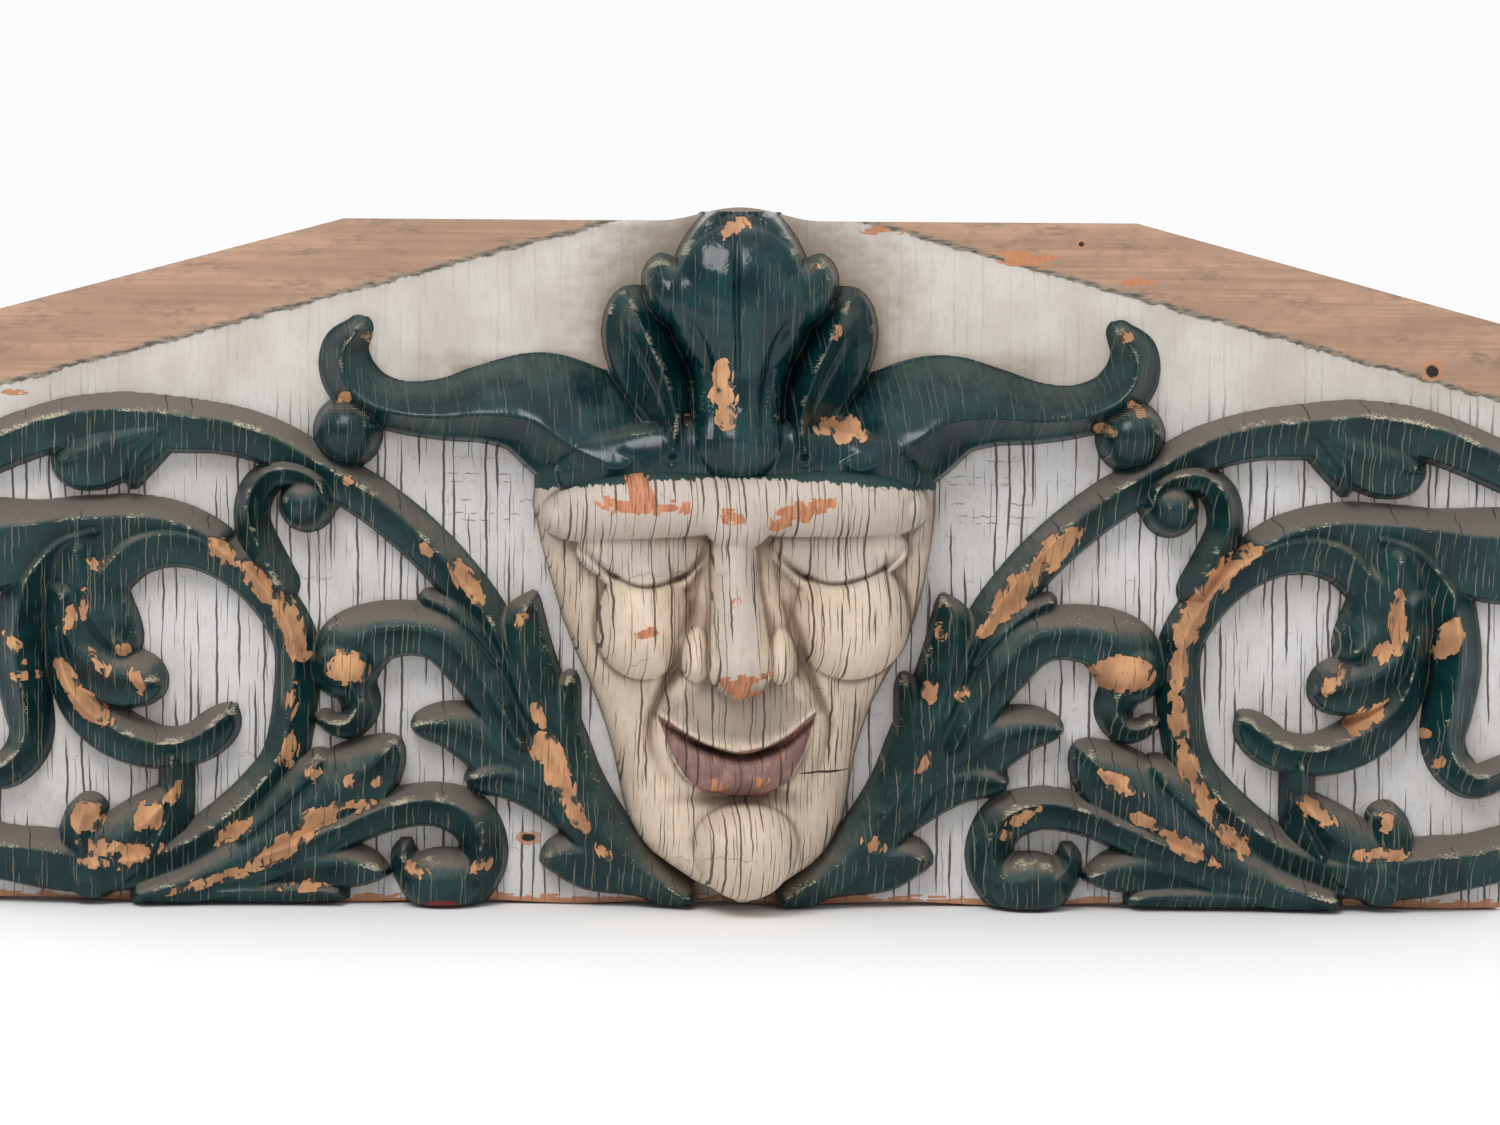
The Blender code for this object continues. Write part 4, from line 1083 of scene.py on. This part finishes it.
class PANEL_OT_board(bpy.types.Operator):
    """Models the board with its raked ends and bare strip"""

    bl_idname = "pediment.board"
    bl_label = "Board"

    def execute(self, context):
        """Builds the board."""
        step = context.scene.pediment.board_step / 1000
        bm = board_grid(round(PANEL_LENGTH / step), round(PANEL_HEIGHT / step))
        obj = finished_piece("board", bm, [ground_paint(), bare_back()])
        x, z = sheet_places(obj.data)
        store(obj.data, "strip", z - ghost_line(x))
        cap_dirt = 1 - np.clip((np.hypot(x / 1.25, z - 400) - 50) / 70, 0, 1)
        horn_dirt = 0.6 - np.clip(np.hypot((np.abs(x) - 190) / 95, (z - 362) / 30), 0, 1)
        # dirt round the cap and horns, plus dirt and painted shade along the foot of the carving
        grime_and_painted_shade = np.maximum(cap_dirt, horn_dirt) + self.dirt_and_shade_by_carving(x, z)
        store(obj.data, "grime_and_painted_shade", np.clip(grime_and_painted_shade, 0, 1))
        store(obj.data, "dense", np.clip((350 - z) / 45, 0.0, 1))
        store(obj.data, "net", 1 - np.hypot((np.abs(x) - 168) / 42, (z - 275) / 34))
        patches = [1 - np.hypot((x - cx) / across, (z - cz) / up) for cx, cz, across, up in RAW_PATCHES]
        store(obj.data, "raw", np.maximum(4.0 - z, np.maximum.reduce(patches) * 5.0))
        store(obj.data, "edge", (top_of(x * LENGTH_SCALE) + PANEL_HEIGHT / 2) / HEIGHT_SCALE - z)
        return {"FINISHED"}

    def dirt_and_shade_by_carving(self, x, z):
        """Dirt gathered on the ground along the foot of the carving, together with the painted shade that
        falls there.
        """
        grid_x, grid_z = np.meshgrid(np.arange(*DIRT_AND_SHADE_X, DIRT_AND_SHADE_STEP), np.arange(*DIRT_AND_SHADE_Z, DIRT_AND_SHADE_STEP))
        flat_x, flat_z = grid_x.ravel(), grid_z.ravel()
        forms = (raise_both_scrolls, raise_cap_and_bells, raise_face)
        height = np.maximum.reduce([lone_height(form, flat_x, flat_z) for form in forms])
        close = blurred((height.reshape(grid_x.shape) > 0).astype(float), 2)
        column = np.clip(np.round((x - DIRT_AND_SHADE_X[0]) / DIRT_AND_SHADE_STEP).astype(int), 0, grid_x.shape[1] - 1)
        row = np.clip(np.round((z - DIRT_AND_SHADE_Z[0]) / DIRT_AND_SHADE_STEP).astype(int), 0, grid_x.shape[0] - 1)
        return close[row, column] * 0.9


class PANEL_OT_scrollwork(bpy.types.Operator):
    """Carves the scrollwork of both halves"""

    bl_idname = "pediment.scrollwork"
    bl_label = "Scrollwork"

    def execute(self, context):
        """Builds the left and the right half."""
        step = context.scene.pediment.scroll_step
        paint = green_paint("scroll_paint", 0.34, 0.0)
        end = SHEET_LENGTH / 2 - SCROLL_INSET
        for name, low, high, chips in (("left_scrollwork", -end, -SCROLL_INNER_EDGE, LEFT_CHIPS),
                                       ("right_scrollwork", SCROLL_INNER_EDGE, end, RIGHT_CHIPS)):
            region = (low, SCROLL_INSET, high, SCROLL_TOP)
            carve(name, region, step, raise_both_scrolls, [paint], chipped_fields(chips))
        return {"FINISHED"}


class PANEL_OT_cap(bpy.types.Operator):
    """Carves the cap with its horns, bells and finial"""

    bl_idname = "pediment.cap"
    bl_label = "Cap"

    def execute(self, context):
        """Builds the cap."""
        step = context.scene.pediment.mask_step
        paint = green_paint("cap_paint", 0.16, 0.75)
        carve("cap", CAP_REGION, step, raise_cap_and_bells, [paint], chipped_fields(CAP_CHIPS))
        return {"FINISHED"}


class PANEL_OT_mask(bpy.types.Operator):
    """Carves the mask"""

    bl_idname = "pediment.mask"
    bl_label = "Mask"

    def execute(self, context):
        """Builds the mask."""
        step = context.scene.pediment.mask_step
        carve("mask", MASK_REGION, step, raise_face, [mask_paint()], mask_fields)
        return {"FINISHED"}


class PANEL_OT_stage(bpy.types.Operator):
    """Sets the pale floor, the soft lights and the camera"""

    bl_idname = "pediment.stage"
    bl_label = "Stage"

    def execute(self, context):
        """Builds the stage."""
        scene = context.scene
        self.add_floor(scene)
        self.add_world(scene)
        self.add_lamps(scene)
        scene.view_settings.view_transform = "Standard"
        self.add_camera(scene)
        return {"FINISHED"}

    def add_world(self, scene):
        """Surrounds the stage with white, dimmer in front of the panel, bright overhead and below."""
        world = bpy.data.worlds.new("white_room")
        world.use_nodes = True
        tree = world.node_tree
        parts = tree.nodes.new("ShaderNodeSeparateXYZ")
        tree.links.new(tree.nodes.new("ShaderNodeTexCoord").outputs["Generated"], parts.inputs[0])
        _, deep, up = (Socket(tree, output) for output in parts.outputs)
        bright = deep.step(-0.1, 0.35).atleast(up.step(0.4, 0.9)).atleast(up.step(0.0, -0.04))
        strength = ROOM_STRENGTH + ROOM_GAIN * bright
        feed(tree, tree.nodes["Background"].inputs["Color"], (1.0, 1.0, 1.0, 1.0))
        feed(tree, tree.nodes["Background"].inputs["Strength"], strength)
        scene.world = world

    def add_lamps(self, scene):
        """Hangs the soft lamps, turned to the panel."""
        for name, power, size, place in LAMPS:
            lamp = bpy.data.lights.new(name, "AREA")
            lamp.energy = power
            lamp.size = size
            light = bpy.data.objects.new(name, lamp)
            light.location = place
            light.rotation_euler = (-Vector(place)).to_track_quat("-Z", "Y").to_euler()
            scene.collection.objects.link(light)

    def add_floor(self, scene):
        """Lays the floor just below the panel's foot."""
        bm = bmesh.new()
        bmesh.ops.create_grid(bm, x_segments=1, y_segments=1, size=FLOOR_SIZE)
        mesh = bpy.data.meshes.new("floor")
        bm.to_mesh(mesh)
        bm.free()
        floor = bpy.data.objects.new("floor", mesh)
        floor.location.z = CAD_LOW.z - FLOOR_GAP
        scene.collection.objects.link(floor)
        paint = bpy.data.materials.new("floor_white")
        paint.use_nodes = True
        shader = paint.node_tree.nodes["Principled BSDF"]
        shader.inputs["Base Color"].default_value = (FLOOR_GREY, FLOOR_GREY, FLOOR_GREY, 1)
        shader.inputs["Roughness"].default_value = 0.9
        mesh.materials.append(paint)

    def add_camera(self, scene):
        """Places the camera straight in front, a little above and turned by the photograph's tilt."""
        settings = scene.pediment
        lens = bpy.data.cameras.new("camera")
        lens.sensor_width = SENSOR_WIDTH
        lens.lens = SENSOR_WIDTH * settings.camera_distance / (PHOTO_WIDTH * PIXEL)
        camera = bpy.data.objects.new("camera", lens)
        scene.collection.objects.link(camera)
        off_x = (CENTRE_PX[0] - AXIS_PX) * PIXEL
        off_z = (FOOT_PX - CENTRE_PX[1]) * PIXEL
        cos, sin = math.cos(PHOTO_ROLL), math.sin(PHOTO_ROLL)
        target = Vector((off_x * cos - off_z * sin, -BOARD_THICKNESS,
                         off_z * cos + off_x * sin - PANEL_HEIGHT / 2))
        back = Vector((0, -math.cos(settings.camera_height), math.sin(settings.camera_height)))
        place = target + back * settings.camera_distance
        turn = (-back).to_track_quat("-Z", "Y").to_matrix().to_4x4()
        camera.matrix_world = Matrix.Translation(place) @ turn @ Matrix.Rotation(PHOTO_ROLL, 4, "Z")
        scene.camera = camera


class PANEL_PT_pediment(bpy.types.Panel):
    """Lists the panel's pieces in the sidebar"""

    bl_label = "Pediment panel"
    bl_idname = "PANEL_PT_pediment"
    bl_space_type = "VIEW_3D"
    bl_region_type = "UI"
    bl_category = "Pediment"

    def draw(self, context):
        """Draws the settings and a button for each piece."""
        for name in PanelSettings.__annotations__:
            self.layout.prop(context.scene.pediment, name)
        for operator in OPERATORS:
            self.layout.operator(operator.bl_idname)


OPERATORS = (PANEL_OT_board, PANEL_OT_scrollwork, PANEL_OT_cap, PANEL_OT_mask, PANEL_OT_stage)
CLASSES = (PanelSettings, *OPERATORS, PANEL_PT_pediment)


def register():
    """Adds the classes and the scene's settings."""
    for item in CLASSES:
        bpy.utils.register_class(item)
    bpy.types.Scene.pediment = bpy.props.PointerProperty(type=PanelSettings)


def unregister():
    """Removes what register added."""
    del bpy.types.Scene.pediment
    for item in reversed(CLASSES):
        bpy.utils.unregister_class(item)


def main():
    """Builds every piece in order."""
    register()
    bpy.ops.pediment.board()
    bpy.ops.pediment.scrollwork()
    bpy.ops.pediment.cap()
    bpy.ops.pediment.mask()
    bpy.ops.pediment.stage()


if __name__ == "__main__":
    main()
